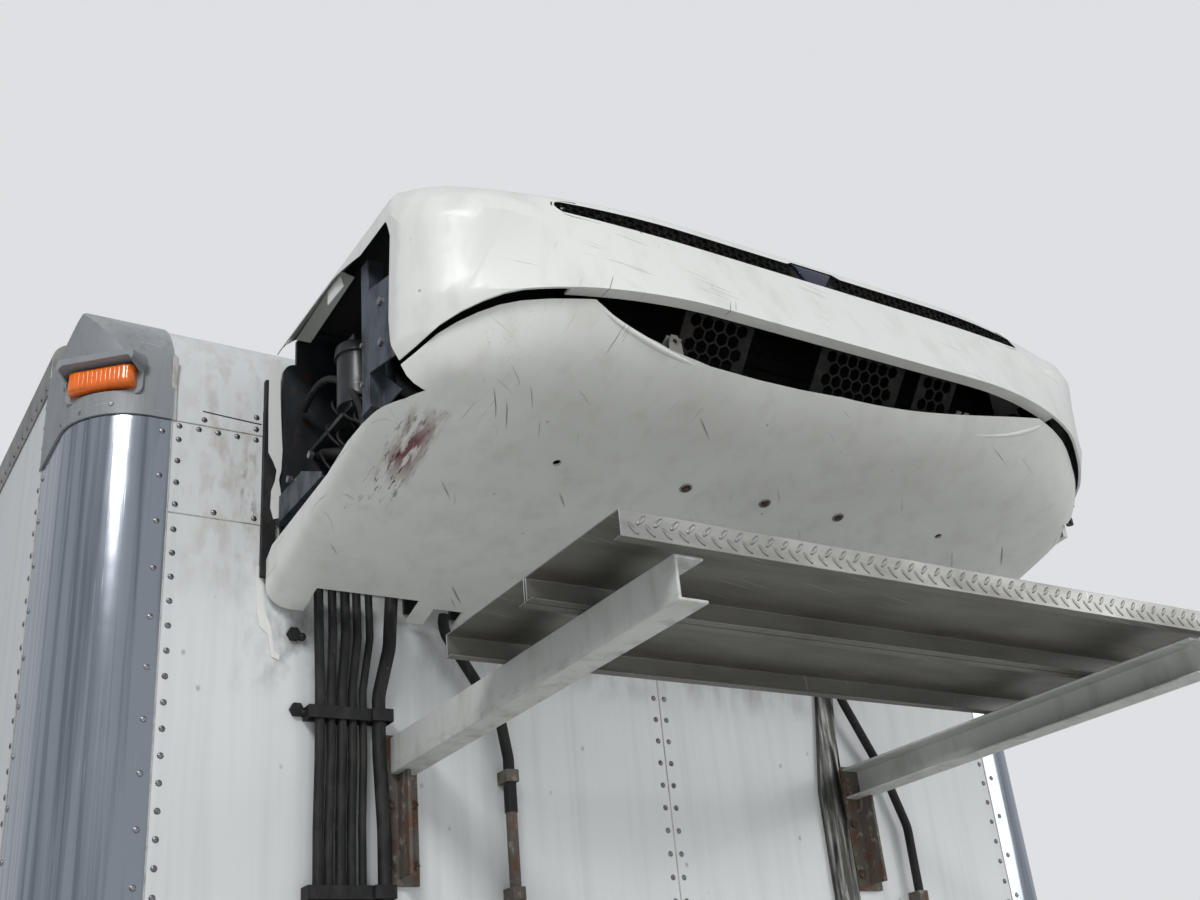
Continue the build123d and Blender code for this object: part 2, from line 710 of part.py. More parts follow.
def bay_post(side, x_inset, y, high):
    """Square post of the unit's frame beside a service opening, on a foot that reaches under the rail."""
    x = side * (unit_half - x_inset)
    with BuildPart() as post:
        with BuildSketch(Plane.XY.offset(up(rail_low - seat))):
            with Locations((x, y)):
                Rectangle(post_size, post_size)
                Rectangle(post_size - 2 * post_wall, post_size - 2 * post_wall, mode=Mode.SUBTRACT)
        extrude(amount=high - rail_low)
        with Locations(((x + side * (rail_x - rail_size / 2)) / 2, y, up(rail_low) - seat)):
            Box(unit_half - x_inset - rail_x + rail_size / 2 + post_size, post_size + 12, foot_thick,
                align=(Align.CENTER, Align.CENTER, Align.MAX))
    return post.part


post_y = -470.0
gusset_drop, gusset_reach = 75.0, 78.0
with BuildPart() as left_post:
    add(bay_post(-1, post_inset, post_y, post_high))
    gusset_x = -unit_half + post_inset + post_size / 2 - post_wall
    with BuildSketch(Plane.YZ.offset(gusset_x)):
        with BuildLine():
            corner_y = post_y - post_size / 2
            Polyline((corner_y, up(rail_low) - seat + gusset_drop), (corner_y - gusset_reach, up(rail_low) - seat),
                     (corner_y, up(rail_low) - seat), close=True)
        make_face()
    extrude(amount=post_wall)
write(left_post, "bay_post_left")

bracket_skin = 4.0
with BuildPart() as bay_bracket:
    with BuildSketch(Plane.YZ.offset(-unit_half + post_inset - post_size / 2)):
        with BuildLine():
            bracket_y = post_y - post_size / 2 - seat
            Polyline((bracket_y, up(90)), (bracket_y - 122, up(60)), (bracket_y - 114, up(-120)),
                     (bracket_y, up(-96)), close=True)
        make_face()
        with Locations((bracket_y - 57, up(30)), (bracket_y - 57, up(-60))):
            Circle(9, mode=Mode.SUBTRACT)
    extrude(amount=bracket_skin)
write(bay_bracket, "bay_bracket")

with BuildPart() as filter_canister:
    with BuildSketch(Plane.XY.offset(up(-20))):
        with Locations((-790, -220)):
            Circle(46)
    extrude(amount=120)
    with BuildSketch(Plane.XY.offset(up(100))):
        with Locations((-790, -220)):
            Circle(52)
    extrude(amount=26, taper=8)
    with Locations((-790, -220, up(-32))):
        Box(60, 60, 12, align=(Align.CENTER, Align.CENTER, Align.MIN))
    with Locations((-790, -190, up(-32))):
        Box(60, 190 - back_thick - 2 * seat, 12, align=(Align.CENTER, Align.MIN, Align.MIN))
write(filter_canister, "filter_canister")

tray_out, tray_thick, tray_deep = unit_half - 25, 4.0, 40.0
tray_rear, tray_front, tray_high, tray_low = -24.0, -262.0, -150.0, -212.0
with BuildPart() as side_tray:
    with BuildSketch(Plane.YZ.offset(-tray_out)):
        with BuildLine():
            Polyline((tray_rear, up(tray_high)), (tray_rear - 130, up(tray_high)), (tray_front, up(tray_low + 12)),
                     (tray_front, up(tray_low)), (tray_rear, up(tray_low)), close=True)
        make_face()
    extrude(amount=tray_thick)
    with Locations((-tray_out, tray_rear, up(tray_low))):
        Box(tray_deep, tray_rear - tray_front, tray_thick, align=(Align.MIN, Align.MAX, Align.MIN))
    with Locations((-tray_out + tray_thick, -back_thick - 2 * seat, up(tray_low))):
        Box(tray_deep - tray_thick, tray_thick, tray_high - tray_low, align=(Align.MIN, Align.MAX, Align.MIN))
        Box(tray_deep - tray_thick, 20, tray_thick, align=(Align.MIN, Align.MAX, Align.MIN))
write(side_tray, "side_tray")

# Right side service door and its hinge

door_rear = shell_rear - swing_gap
door_edge = door_front + 2 * swing_gap
hinge_x, hinge_y = unit_half + hinge_out, door_front + 3.0
knuckle_radius = hinge_pin_radius + 4
knuckle_spans = ((20.0, 60.0), (-160.0, -120.0))     # low and high ends, from the seam
leaf_tall, leaf_space, leaf_thick = 14.0, 2.0, 5.0
door_low_line = [(y, z + swing_gap) for y, z in side_sill[2:-1]]
door_low_front = (door_edge, side_sill[1][1] + swing_gap)
door_low_rear = (door_rear, side_sill[-2][1] + swing_gap)
door_shape = [door_low_front] + door_low_line[:-1] + [door_low_rear] + [
    (door_rear, door_top - swing_gap), (door_outline[-2][0] + swing_gap, door_top - swing_gap),
    (door_outline[-3][0] + swing_gap, door_outline[-3][1] - swing_gap),
    (door_outline[-4][0] + swing_gap, door_outline[-4][1] - swing_gap),
    (door_edge, door_outline[-5][1] - swing_gap)]
with BuildPart() as service_door:
    with BuildSketch(Plane.YZ.offset(unit_half - door_thick)) as door_face:
        with BuildLine():
            Polyline(*[(y, up(z)) for y, z in door_shape], close=True)
        make_face()
    extrude(amount=door_thick)
    with BuildSketch(Plane.YZ.offset(unit_half - door_thick)):
        add(door_face.sketch.face())
        offset(amount=-door_skin, mode=Mode.REPLACE)
    extrude(amount=door_thick - door_skin, mode=Mode.SUBTRACT)
    for low, high in knuckle_spans:
        with BuildSketch(Plane.XY.offset(up(low))):
            with Locations((hinge_x, hinge_y)):
                Circle(knuckle_radius)
            with Locations((unit_half - 1, hinge_y)):
                Rectangle(hinge_x - unit_half + 1, 30, align=(Align.MIN, Align.MIN))
            with Locations((hinge_x, hinge_y)):
                Circle(hinge_pin_radius + shaft_clearance, mode=Mode.SUBTRACT)
        extrude(amount=high - low)
write(service_door, "service_door")

hinge_post_inset, hinge_post_high = 81.0, 120.0
hinge_post_y = door_front + 26.0
with BuildPart() as hinge_post:
    add(bay_post(1, hinge_post_inset, hinge_post_y, hinge_post_high))
    post_face = unit_half - hinge_post_inset + post_size / 2
    leaf_y = hinge_y - leaf_thick
    for low, high in knuckle_spans:
        with BuildSketch(Plane.XY.offset(up(low) - leaf_space - leaf_tall)):
            with Locations((hinge_x, hinge_y)):
                Circle(hinge_pin_radius)
        extrude(amount=high - low + 2 * (leaf_space + leaf_tall))
        for level in (low - leaf_space - leaf_tall, high + leaf_space):
            with BuildSketch(Plane.XY.offset(up(level))):
                with Locations((hinge_x, hinge_y)):
                    Circle(knuckle_radius)
                with Locations((post_face - post_wall, leaf_y)):
                    Rectangle(hinge_x - post_face + post_wall, leaf_thick, align=(Align.MIN, Align.MIN))
                with Locations((post_face - post_wall, leaf_y)):
                    Rectangle(post_wall + 2, hinge_post_y - leaf_y, align=(Align.MIN, Align.MIN))
            extrude(amount=leaf_tall)
write(hinge_post, "bay_post_right")

# Seal between the unit and the wall
seal_low, seal_high = -330.0, 60.0
with BuildPart() as unit_seal:
    for side in (-1, 1):
        with Locations((side * (unit_half - seal_width / 2 + 6), -seat, up(seal_low))):
            Box(seal_width, seal_deep, seal_high - seal_low, align=(Align.CENTER, Align.MAX, Align.MIN))
write(unit_seal, "unit_seal")

# Evaporator behind the wall
evap_front = wall_thick + seat
evap_wall = 4.0
evap_mid, evap_tall = (evap_low + evap_high) / 2, evap_high - evap_low
with BuildPart() as evaporator:
    with Locations((0, evap_front, up(evap_mid))):
        Box(2 * evap_half, evap_depth, evap_tall, align=(Align.CENTER, Align.MIN, Align.CENTER))
    fillet(evaporator.edges().filter_by(Axis.Z).group_by(Axis.Y)[-1], 40)
    with Locations((0, evap_front + evap_wall, up(evap_mid))):
        Box(2 * (evap_half - evap_wall), evap_depth - 2 * evap_wall, evap_tall - 2 * evap_wall,
            align=(Align.CENTER, Align.MIN, Align.CENTER), mode=Mode.SUBTRACT)
    with Locations((0, evap_front + evap_wall, up((neck_low + neck_high) / 2))):
        Box(2 * neck_half, wall_thick + evap_wall, neck_high - neck_low,
            align=(Align.CENTER, Align.MAX, Align.CENTER))
        Box(2 * (neck_half - evap_wall), 3 * wall_thick, neck_high - neck_low - 2 * evap_wall,
            align=(Align.CENTER, Align.CENTER, Align.CENTER), mode=Mode.SUBTRACT)
    with BuildSketch(Plane.XZ.offset(-(evap_front + evap_depth))):
        with Locations((-fan_x, up(evap_mid)), (fan_x, up(evap_mid))):
            Circle(fan_ring)
    extrude(amount=2 * evap_wall, both=True, mode=Mode.SUBTRACT)
    with Locations((0, evap_front + 90, up(evap_low + evap_wall / 2))):
        with GridLocations(2 * fan_x, 0, 2, 1):
            Box(420, 90, 3 * evap_wall, mode=Mode.SUBTRACT)
write(evaporator, "evaporator_housing")

fan_back = evap_front + evap_depth - 62.0
motor_radius, motor_length = 42.0, 90.0
with BuildPart() as fan_motors:
    for side in (-1, 1):
        with BuildSketch(Plane.XZ.offset(-(fan_back - 10 - motor_length))):
            with Locations((side * fan_x, up(evap_mid))):
                Circle(motor_radius)
        extrude(amount=-motor_length)
        with BuildSketch(Plane.XZ.offset(-(fan_back - 12))):
            with Locations((side * fan_x, up(evap_mid))):
                Circle(shaft_radius)
        extrude(amount=-52)
        with Locations((side * fan_x, fan_back - 10 - motor_length / 2, up(evap_low) + evap_wall + seat)):
            Box(50, 60, up(evap_mid) - up(evap_low) - evap_wall - seat - motor_radius + 6,
                align=(Align.CENTER, Align.CENTER, Align.MIN))
write(fan_motors, "fan_motors")

hub_radius, hub_depth, blade_pitch, blade_thick = 34.0, 36.0, 28.0, 3.0
root_chord, tip_chord = 52.0, 84.0
for side, name in ((-1, "left"), (1, "right")):
    centre = (side * fan_x, fan_back, up(evap_mid))
    with BuildPart() as fan:
        with BuildSketch(Plane(origin=centre, x_dir=(1, 0, 0), z_dir=(0, 1, 0))):
            Circle(hub_radius)
        extrude(amount=hub_depth)
        for turn in range(fan_blades):
            angle = turn * 360 / fan_blades
            direction = Vector(sin(radians(angle)), 0, cos(radians(angle)))
            across = Vector(cos(radians(angle)), 0, -sin(radians(angle)))
            pitched = across * cos(radians(blade_pitch)) + Vector(0, 1, 0) * sin(radians(blade_pitch))
            middle = Vector(*centre) + Vector(0, hub_depth / 2, 0)
            for reach, chord in ((hub_radius - 6, root_chord), (fan_radius - 4, tip_chord)):
                with BuildSketch(Plane(origin=middle + direction * reach, x_dir=pitched, z_dir=direction)):
                    Rectangle(chord, blade_thick)
            loft(ruled=True)
        with BuildSketch(Plane(origin=centre, x_dir=(1, 0, 0), z_dir=(0, 1, 0))):
            Circle(shaft_radius + shaft_clearance)
        extrude(amount=hub_depth, mode=Mode.SUBTRACT)
    write(fan, f"evaporator_fan_{name}")

# Service platform on its two arms
for name, front in (("front", plank_front), ("rear", plank_front + plank_width + plank_space)):
    back, low = front + plank_width, plank_top - plank_drop
    with BuildPart() as plank:
        with BuildSketch(Plane.YZ):
            with BuildLine():
                Polyline((front + plank_return, low), (front, low), (front, plank_top), (back, plank_top),
                         (back, low), (back - plank_return, low))
                offset(amount=plank_thick, side=Side.RIGHT)
            make_face()
        extrude(amount=plank_half, both=True)
    write(plank, f"platform_plank_{name}")

arm_top = plank_top - plank_drop - seat
for side, name in ((-1, "left"), (1, "right")):
    with BuildPart() as arm:
        with BuildSketch(Plane.XZ.offset(seat + bracket_thick)):
            with BuildLine():
                web, lip = side * arm_web_x, side * (arm_web_x - arm_flange)
                Polyline((lip, arm_top), (web, arm_top), (web, arm_top - arm_height), (lip, arm_top - arm_height))
                offset(amount=arm_thick, side=Side.LEFT if side < 0 else Side.RIGHT)
            make_face()
        extrude(amount=arm_reach - bracket_thick - seat)
    write(arm, f"platform_arm_{name}")

    with BuildPart() as bracket:
        bracket_x = side * (arm_web_x - arm_flange / 2 + 6)
        with Locations((bracket_x, -seat, arm_top + 6)):
            Box(bracket_width, bracket_thick - seat, bracket_height,
                align=(Align.CENTER, Align.MAX, Align.MAX))
        with Locations((side * (arm_web_x - arm_thick - 12), -seat, arm_top - arm_height - seat)):
            Box(8, 62, bracket_height - arm_height - 20, align=(Align.CENTER, Align.MAX, Align.MAX))
    write(bracket, f"arm_bracket_{name}")

# Hoses and pipes clipped to the wall, with the block that takes their lower ends
coupling_top, coupling_height, coupling_width = 420.0, 60.0, 210.0
bundle_x = -742.0
hose_table = (                                       # top x, clamp x, middle x, bottom x, radius
    (-806.0, -797.0, -800.0, -806.0, 10.0),
    (-776.0, -773.0, -778.0, -782.0, 9.0),
    (-748.0, -750.0, -754.0, -758.0, 10.0),
    (-722.0, -727.0, -731.0, -735.0, 9.0),
    (-694.0, -704.0, -708.0, -712.0, 8.0),
)
thick_hose_radius = 14.0
clip_levels = (up(-612.0), up(-960.0), up(-1340.0))
clip_depth, clip_tall, clip_strap = 14.0, 26.0, 3.0
hose_lean = 12.0                                     # further out at the unit than at the first clip
hose_start = up(floor_height(-40.0)) + 40


def hose(points, radius, bends):
    """Tube along straight runs joined by tangent arcs."""
    with BuildPart() as tube:
        with BuildLine() as path:
            FilletPolyline(*points, radius=bends)
        with BuildSketch(Plane(origin=path.line @ 0, z_dir=path.line % 0)):
            Circle(radius)
        sweep(path=path.line)
    return tube.part


def hose_y(radius):
    return -(seat + clip_depth + clip_gap + radius)


with BuildPart() as hose_bundle:
    for top, clamp, middle, bottom, radius in hose_table:
        y = hose_y(radius)
        add(hose(((top, y - hose_lean, hose_start), (top + 2, y - hose_lean, up(-450)), (clamp, y, up(-560)),
                  (clamp, y, up(-700)), (middle, y, up(-840)), (middle, y, up(-1060)), (bottom, y, up(-1200)),
                  (bottom, y, coupling_top)), radius, 90))
write(hose_bundle, "hose_bundle")

with BuildPart() as thick_hose:
    y = hose_y(thick_hose_radius)
    add(hose(((-648, y - hose_lean - 10, hose_start), (-654, y - hose_lean - 6, up(-470)), (-672, y, up(-570)),
              (-672, y, up(-690)), (-664, y, up(-840)), (-664, y, up(-1060)), (-670, y, up(-1200)),
              (-670, y, coupling_top)), thick_hose_radius, 110))
write(thick_hose, "thick_hose")


def clip(x_low, x_high, radius, level):
    """Strap clip round hoses of one or more sizes, screwed to the wall."""
    inner_deep = 2 * radius + 2 * clip_gap
    with Locations(((x_low + x_high) / 2, -seat, level)):
        Box(x_high - x_low, clip_depth + inner_deep + clip_strap, clip_tall,
            align=(Align.CENTER, Align.MAX, Align.CENTER))
    with Locations(((x_low + x_high) / 2, -seat - clip_depth, level)):
        Box(x_high - x_low - 2 * clip_strap, inner_deep, 2 * clip_tall,
            align=(Align.CENTER, Align.MAX, Align.CENTER), mode=Mode.SUBTRACT)


bundle_clip = (-824.0, -692.0)                       # left and right ends
thick_clip = (-691.5, -646.0)
bundle_radius = max(row[-1] for row in hose_table)
with BuildPart() as hose_clips:
    for level in clip_levels:
        with BuildPart(mode=Mode.PRIVATE) as bundle_strap:
            clip(*bundle_clip, bundle_radius, level)
        with BuildPart(mode=Mode.PRIVATE) as thick_strap:
            clip(*thick_clip, thick_hose_radius, level)
        add(bundle_strap.part)
        add(thick_strap.part)
write(hose_clips, "hose_clips")

side_hose_x, side_hose_radius = 760.0, 11.0
couplings = (("coupling_block", bundle_x, coupling_width), ("coupling_block_right", side_hose_x, 70.0))
for name, x, width in couplings:
    with BuildPart() as coupling:
        with Locations((x, -seat, coupling_top - seat)):
            Box(width, clip_depth + 2 * thick_hose_radius + 8, coupling_height,
                align=(Align.CENTER, Align.MAX, Align.MAX))
        fillet(coupling.edges().filter_by(Axis.Z).group_by(Axis.Y)[0], 10)
    write(coupling, name)

# Right side hose, drain hose with its pipe, and the cover strip between them
with BuildPart() as hose_right:
    y = hose_y(side_hose_radius)
    add(hose(((592, y - hose_lean, hose_start - 30), (596, y - hose_lean, up(-470)), (719, y, up(-673)),
              (side_hose_x, y, up(-790)), (side_hose_x, y, coupling_top)), side_hose_radius, 70))
write(hose_right, "hose_right")

drain_radius, drain_wall = 12.0, 3.0
drain_x, drain_joint, drain_end = -375.0, up(-720.0), 330.0
with BuildPart() as drain_hose:
    y = hose_y(drain_radius)
    add(hose(((-520, y - hose_lean, hose_start - 30), (-526, y - hose_lean, up(-410)), (-389, y, up(-598)),
              (drain_x, y, up(-680)), (drain_x, y, drain_joint)), drain_radius, 60))
write(drain_hose, "drain_hose")

with BuildPart() as drain_pipe:
    with BuildSketch(Plane.XY.offset(drain_end)):
        with Locations((drain_x, hose_y(drain_radius))):
            Circle(drain_radius)
            Circle(drain_radius - drain_wall, mode=Mode.SUBTRACT)
    extrude(amount=drain_joint - seat - drain_end)
write(drain_pipe, "drain_pipe")

side_clips = (                                       # x, radius, heights above the sill's underside
    (side_hose_x, side_hose_radius, clip_levels[1:]),
    (drain_x, drain_radius, (drain_joint, *clip_levels[1:])),
)
with BuildPart() as pipe_clips:
    for x, radius, levels in side_clips:
        half_strap = radius + clip_gap + clip_strap
        for level in levels:
            with BuildPart(mode=Mode.PRIVATE) as strap:
                clip(x - half_strap, x + half_strap, radius, level)
            add(strap.part)
write(pipe_clips, "pipe_clips")

duct_deep, duct_sheet = 12.0, 2.0
duct_outline = (                                     # x, height above the sill's underside
    (504.0, up(-1560)), (576.0, up(-1560)), (576.0, up(-640)), (598.0, up(-440)), (548.0, up(-440)),
    (504.0, up(-710)))
with BuildPart() as wall_duct:
    with BuildSketch(Plane.XZ.offset(seat)) as duct_face:
        with BuildLine():
            Polyline(*duct_outline, close=True)
        make_face()
    extrude(amount=duct_deep)
    with BuildSketch(Plane.XZ.offset(seat)):
        add(duct_face.sketch.face())
        offset(amount=-duct_sheet, mode=Mode.REPLACE)
    extrude(amount=duct_deep - duct_sheet, mode=Mode.SUBTRACT)
write(wall_duct, "wall_duct")
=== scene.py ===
"""Looks of a refrigerated truck body's front section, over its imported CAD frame.

Everything is in metres in the frame of the CAD: +Z up, the front faces -Y, and the origin is under
the front sill in the plane of the wall's outer skin. Each sub-assembly is a class whose fields are
its sizes and whose methods build and dress it.
"""

import json
import logging
import math
from dataclasses import dataclass, field
from enum import Enum
from typing import Any, Iterable, Sequence

import bmesh
import bpy
from mathutils import Matrix, Vector
from mathutils.bvhtree import BVHTree

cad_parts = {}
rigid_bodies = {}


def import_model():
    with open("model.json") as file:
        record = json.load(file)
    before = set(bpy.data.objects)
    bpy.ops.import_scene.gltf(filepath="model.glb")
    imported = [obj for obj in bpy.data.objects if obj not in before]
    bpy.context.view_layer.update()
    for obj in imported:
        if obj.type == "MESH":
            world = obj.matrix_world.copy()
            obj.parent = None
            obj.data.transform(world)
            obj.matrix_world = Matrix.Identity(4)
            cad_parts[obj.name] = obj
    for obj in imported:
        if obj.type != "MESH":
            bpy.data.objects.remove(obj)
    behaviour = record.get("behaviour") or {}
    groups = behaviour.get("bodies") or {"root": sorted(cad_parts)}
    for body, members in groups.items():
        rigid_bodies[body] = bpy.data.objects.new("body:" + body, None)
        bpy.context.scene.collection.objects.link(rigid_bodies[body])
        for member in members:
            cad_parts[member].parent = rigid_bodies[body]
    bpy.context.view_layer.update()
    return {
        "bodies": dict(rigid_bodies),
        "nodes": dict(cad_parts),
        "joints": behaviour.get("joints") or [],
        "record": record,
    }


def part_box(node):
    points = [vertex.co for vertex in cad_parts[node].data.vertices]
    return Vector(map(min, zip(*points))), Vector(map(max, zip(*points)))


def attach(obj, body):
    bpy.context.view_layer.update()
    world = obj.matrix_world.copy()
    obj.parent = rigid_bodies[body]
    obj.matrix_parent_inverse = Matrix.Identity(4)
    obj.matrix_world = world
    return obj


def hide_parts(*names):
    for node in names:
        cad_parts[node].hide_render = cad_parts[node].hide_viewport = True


log = logging.getLogger("scene")

Point = tuple[float, float, float]
Row = tuple[Point, Point, Point]  # where heads start, where they end and what they face
SIDES = ((-1, "left"), (1, "right"))
FRONT, REAR, UP = (0, -1, 0), (0, 1, 0), (0, 0, 1)
SEAM = 2.235              # upper edge of the riveted front wall
LOWER_SEAM = 2.024        # joint between the front panels and the upper one
BODY_HALF = 1.305
BODY_DEPTH = 1.16
JOINT_X = 1.115           # side joints of the front panels
UNIT_HALF = 0.915
COAT_ROUGHNESS = 0.12
GLOW_DEPTH = 0.02         # how far light wanders in a translucent moulding, in metres
UNEVEN = 0.06             # how far a finish's roughness strays from its base
SCRATCH_CLUSTER = 170     # size of the places where scratches gather, in mm
WELD = 0.00002            # vertices closer than this are one
HAIR = 0.0005             # how far a thin piece keeps off the face it lies on, or its edges are rounded
FLAT = 0.4                # faces that meet at less than this, in degrees, are one


def linear(code: str) -> tuple[float, float, float, float]:
    """Turn an sRGB hex colour into linear RGBA.

    Args:
        code: Six hex digits.

    Returns:
        The colour with an alpha of one.
    """
    parts = [int(code[i:i + 2], 16) / 255 for i in (0, 2, 4)]
    low = [p / 12.92 if p <= 0.04045 else ((p + 0.055) / 1.055) ** 2.4 for p in parts]
    return low[0], low[1], low[2], 1.0


def add_node(tree: Any, kind: str, settings: dict | None = None, links: dict | None = None) -> Any:
    """Add a node with its settings and links to a shader or geometry tree.

    Args:
        tree: The node tree.
        kind: The node's type.
        settings: Values by socket index or capitalised socket name, or by property name.
        links: Output sockets by the input they go into.

    Returns:
        The new node.
    """
    made = tree.nodes.new(kind)
    for key, value in (settings or {}).items():
        if isinstance(key, int) or key[0].isupper():
            made.inputs[key].default_value = value
        else:
            setattr(made, key, value)
    for key, source in (links or {}).items():
        tree.links.new(source, made.inputs[key])
    return made


def calc(tree: Any, operation: str, *terms: Any, kind: str = "ShaderNodeMath") -> Any:
    """Add a maths node on sockets or plain values.

    Args:
        tree: The node tree.
        operation: The node's operation.
        terms: Sockets or plain values in the order of the inputs.
        kind: The node's type.

    Returns:
        The result's socket.
    """
    settings: dict = {"operation": operation}
    links: dict = {}
    for index, term in enumerate(terms):
        (links if isinstance(term, bpy.types.NodeSocket) else settings)[index] = term
    return add_node(tree, kind, settings, links).outputs[0]


def ramp(tree: Any, value: Any, start: float, end: float, low: float = 0.0, high: float = 1.0) -> Any:
    """Add a node that maps one range of values to another and holds at its ends.

    Args:
        tree: The node tree.
        value: The value's socket.
        start: The value where the result is low.
        end: The value where it is high.
        low: The result at the start.
        high: The result at the end.

    Returns:
        The result's socket.
    """
    return add_node(tree, "ShaderNodeMapRange", {"From Min": start, "From Max": end, "To Min": low,
                                                 "To Max": high}, {"Value": value}).outputs[0]


def new_tree(name: str, inputs: dict[str, Sequence[str]], output: str) -> tuple[Any, Any]:
    """Start a Geometry Nodes tree with named sockets.

    Args:
        name: The tree's name.
        inputs: Names of its inputs by socket type.
        output: Name of the geometry that comes out.

    Returns:
        The tree and the sockets that its inputs come from.
    """
    tree = bpy.data.node_groups.new(name, "GeometryNodeTree")
    for kind, labels in inputs.items():
        for label in labels:
            tree.interface.new_socket(label, in_out="INPUT", socket_type="NodeSocket" + kind)
    tree.interface.new_socket(output, in_out="OUTPUT", socket_type="NodeSocketGeometry")
    return tree, add_node(tree, "NodeGroupInput").outputs


def end_tree(tree: Any, instances: Any, material: Any) -> None:
    """Make instances real, paint them and lead them out of the tree.

    Args:
        tree: The node tree.
        instances: Their socket.
        material: The socket of their material.
    """
    real = add_node(tree, "GeometryNodeRealizeInstances", links={0: instances}).outputs[0]
    painted = add_node(tree, "GeometryNodeSetMaterial", links={"Geometry": real, "Material": material})
    add_node(tree, "NodeGroupOutput", links={0: painted.outputs[0]})


class Pattern(Enum):
    """What a layer of a finish looks like."""
    PATCH = "soft cloudy patches"
    SPECK = "round specks"
    SCRATCH = "thin straight dashes"
    BANDS = "straight regular bands"
    PLAIN = "even"


PATCH, SPECK, SCRATCH, BANDS, PLAIN = Pattern


@dataclass(frozen=True)
class Layer:
    """One layer over a finish's base: where it lies, its colour, gloss and relief.

    Attributes:
        pattern: The kind of marks.
        colour: Their sRGB colour.
        amount: Strongest mix, 0 to 1.
        size: Size of the marks along X, Y and Z in mm.
        cover: Level of the pattern from which marks show; lower covers more.
        soft: How gradually they begin.
        rough: Roughness of the marks, or None to keep the base's.
        depth: Relief in mm, negative into the surface.
        where: Centre and half size of the box they stay in, in metres, or None.
        edge: How soft the box's edge is, 0 to 1.
        facing: A direction that the marked surfaces face, or None.
        turn: Rotation of the pattern's axes in degrees.
        seed: Shift that makes layers differ.
    """
    pattern: Pattern
    colour: str
    amount: float = 0.5
    size: Point = (100.0, 100.0, 100.0)
    cover: float = 0.55
    soft: float = 0.1
    rough: float | None = None
    depth: float = 0.0
    where: tuple[Point, Point] | None = None
    edge: float = 0.3
    facing: Point | None = None
    turn: Point = (0.0, 0.0, 0.0)
    seed: float = 0.0


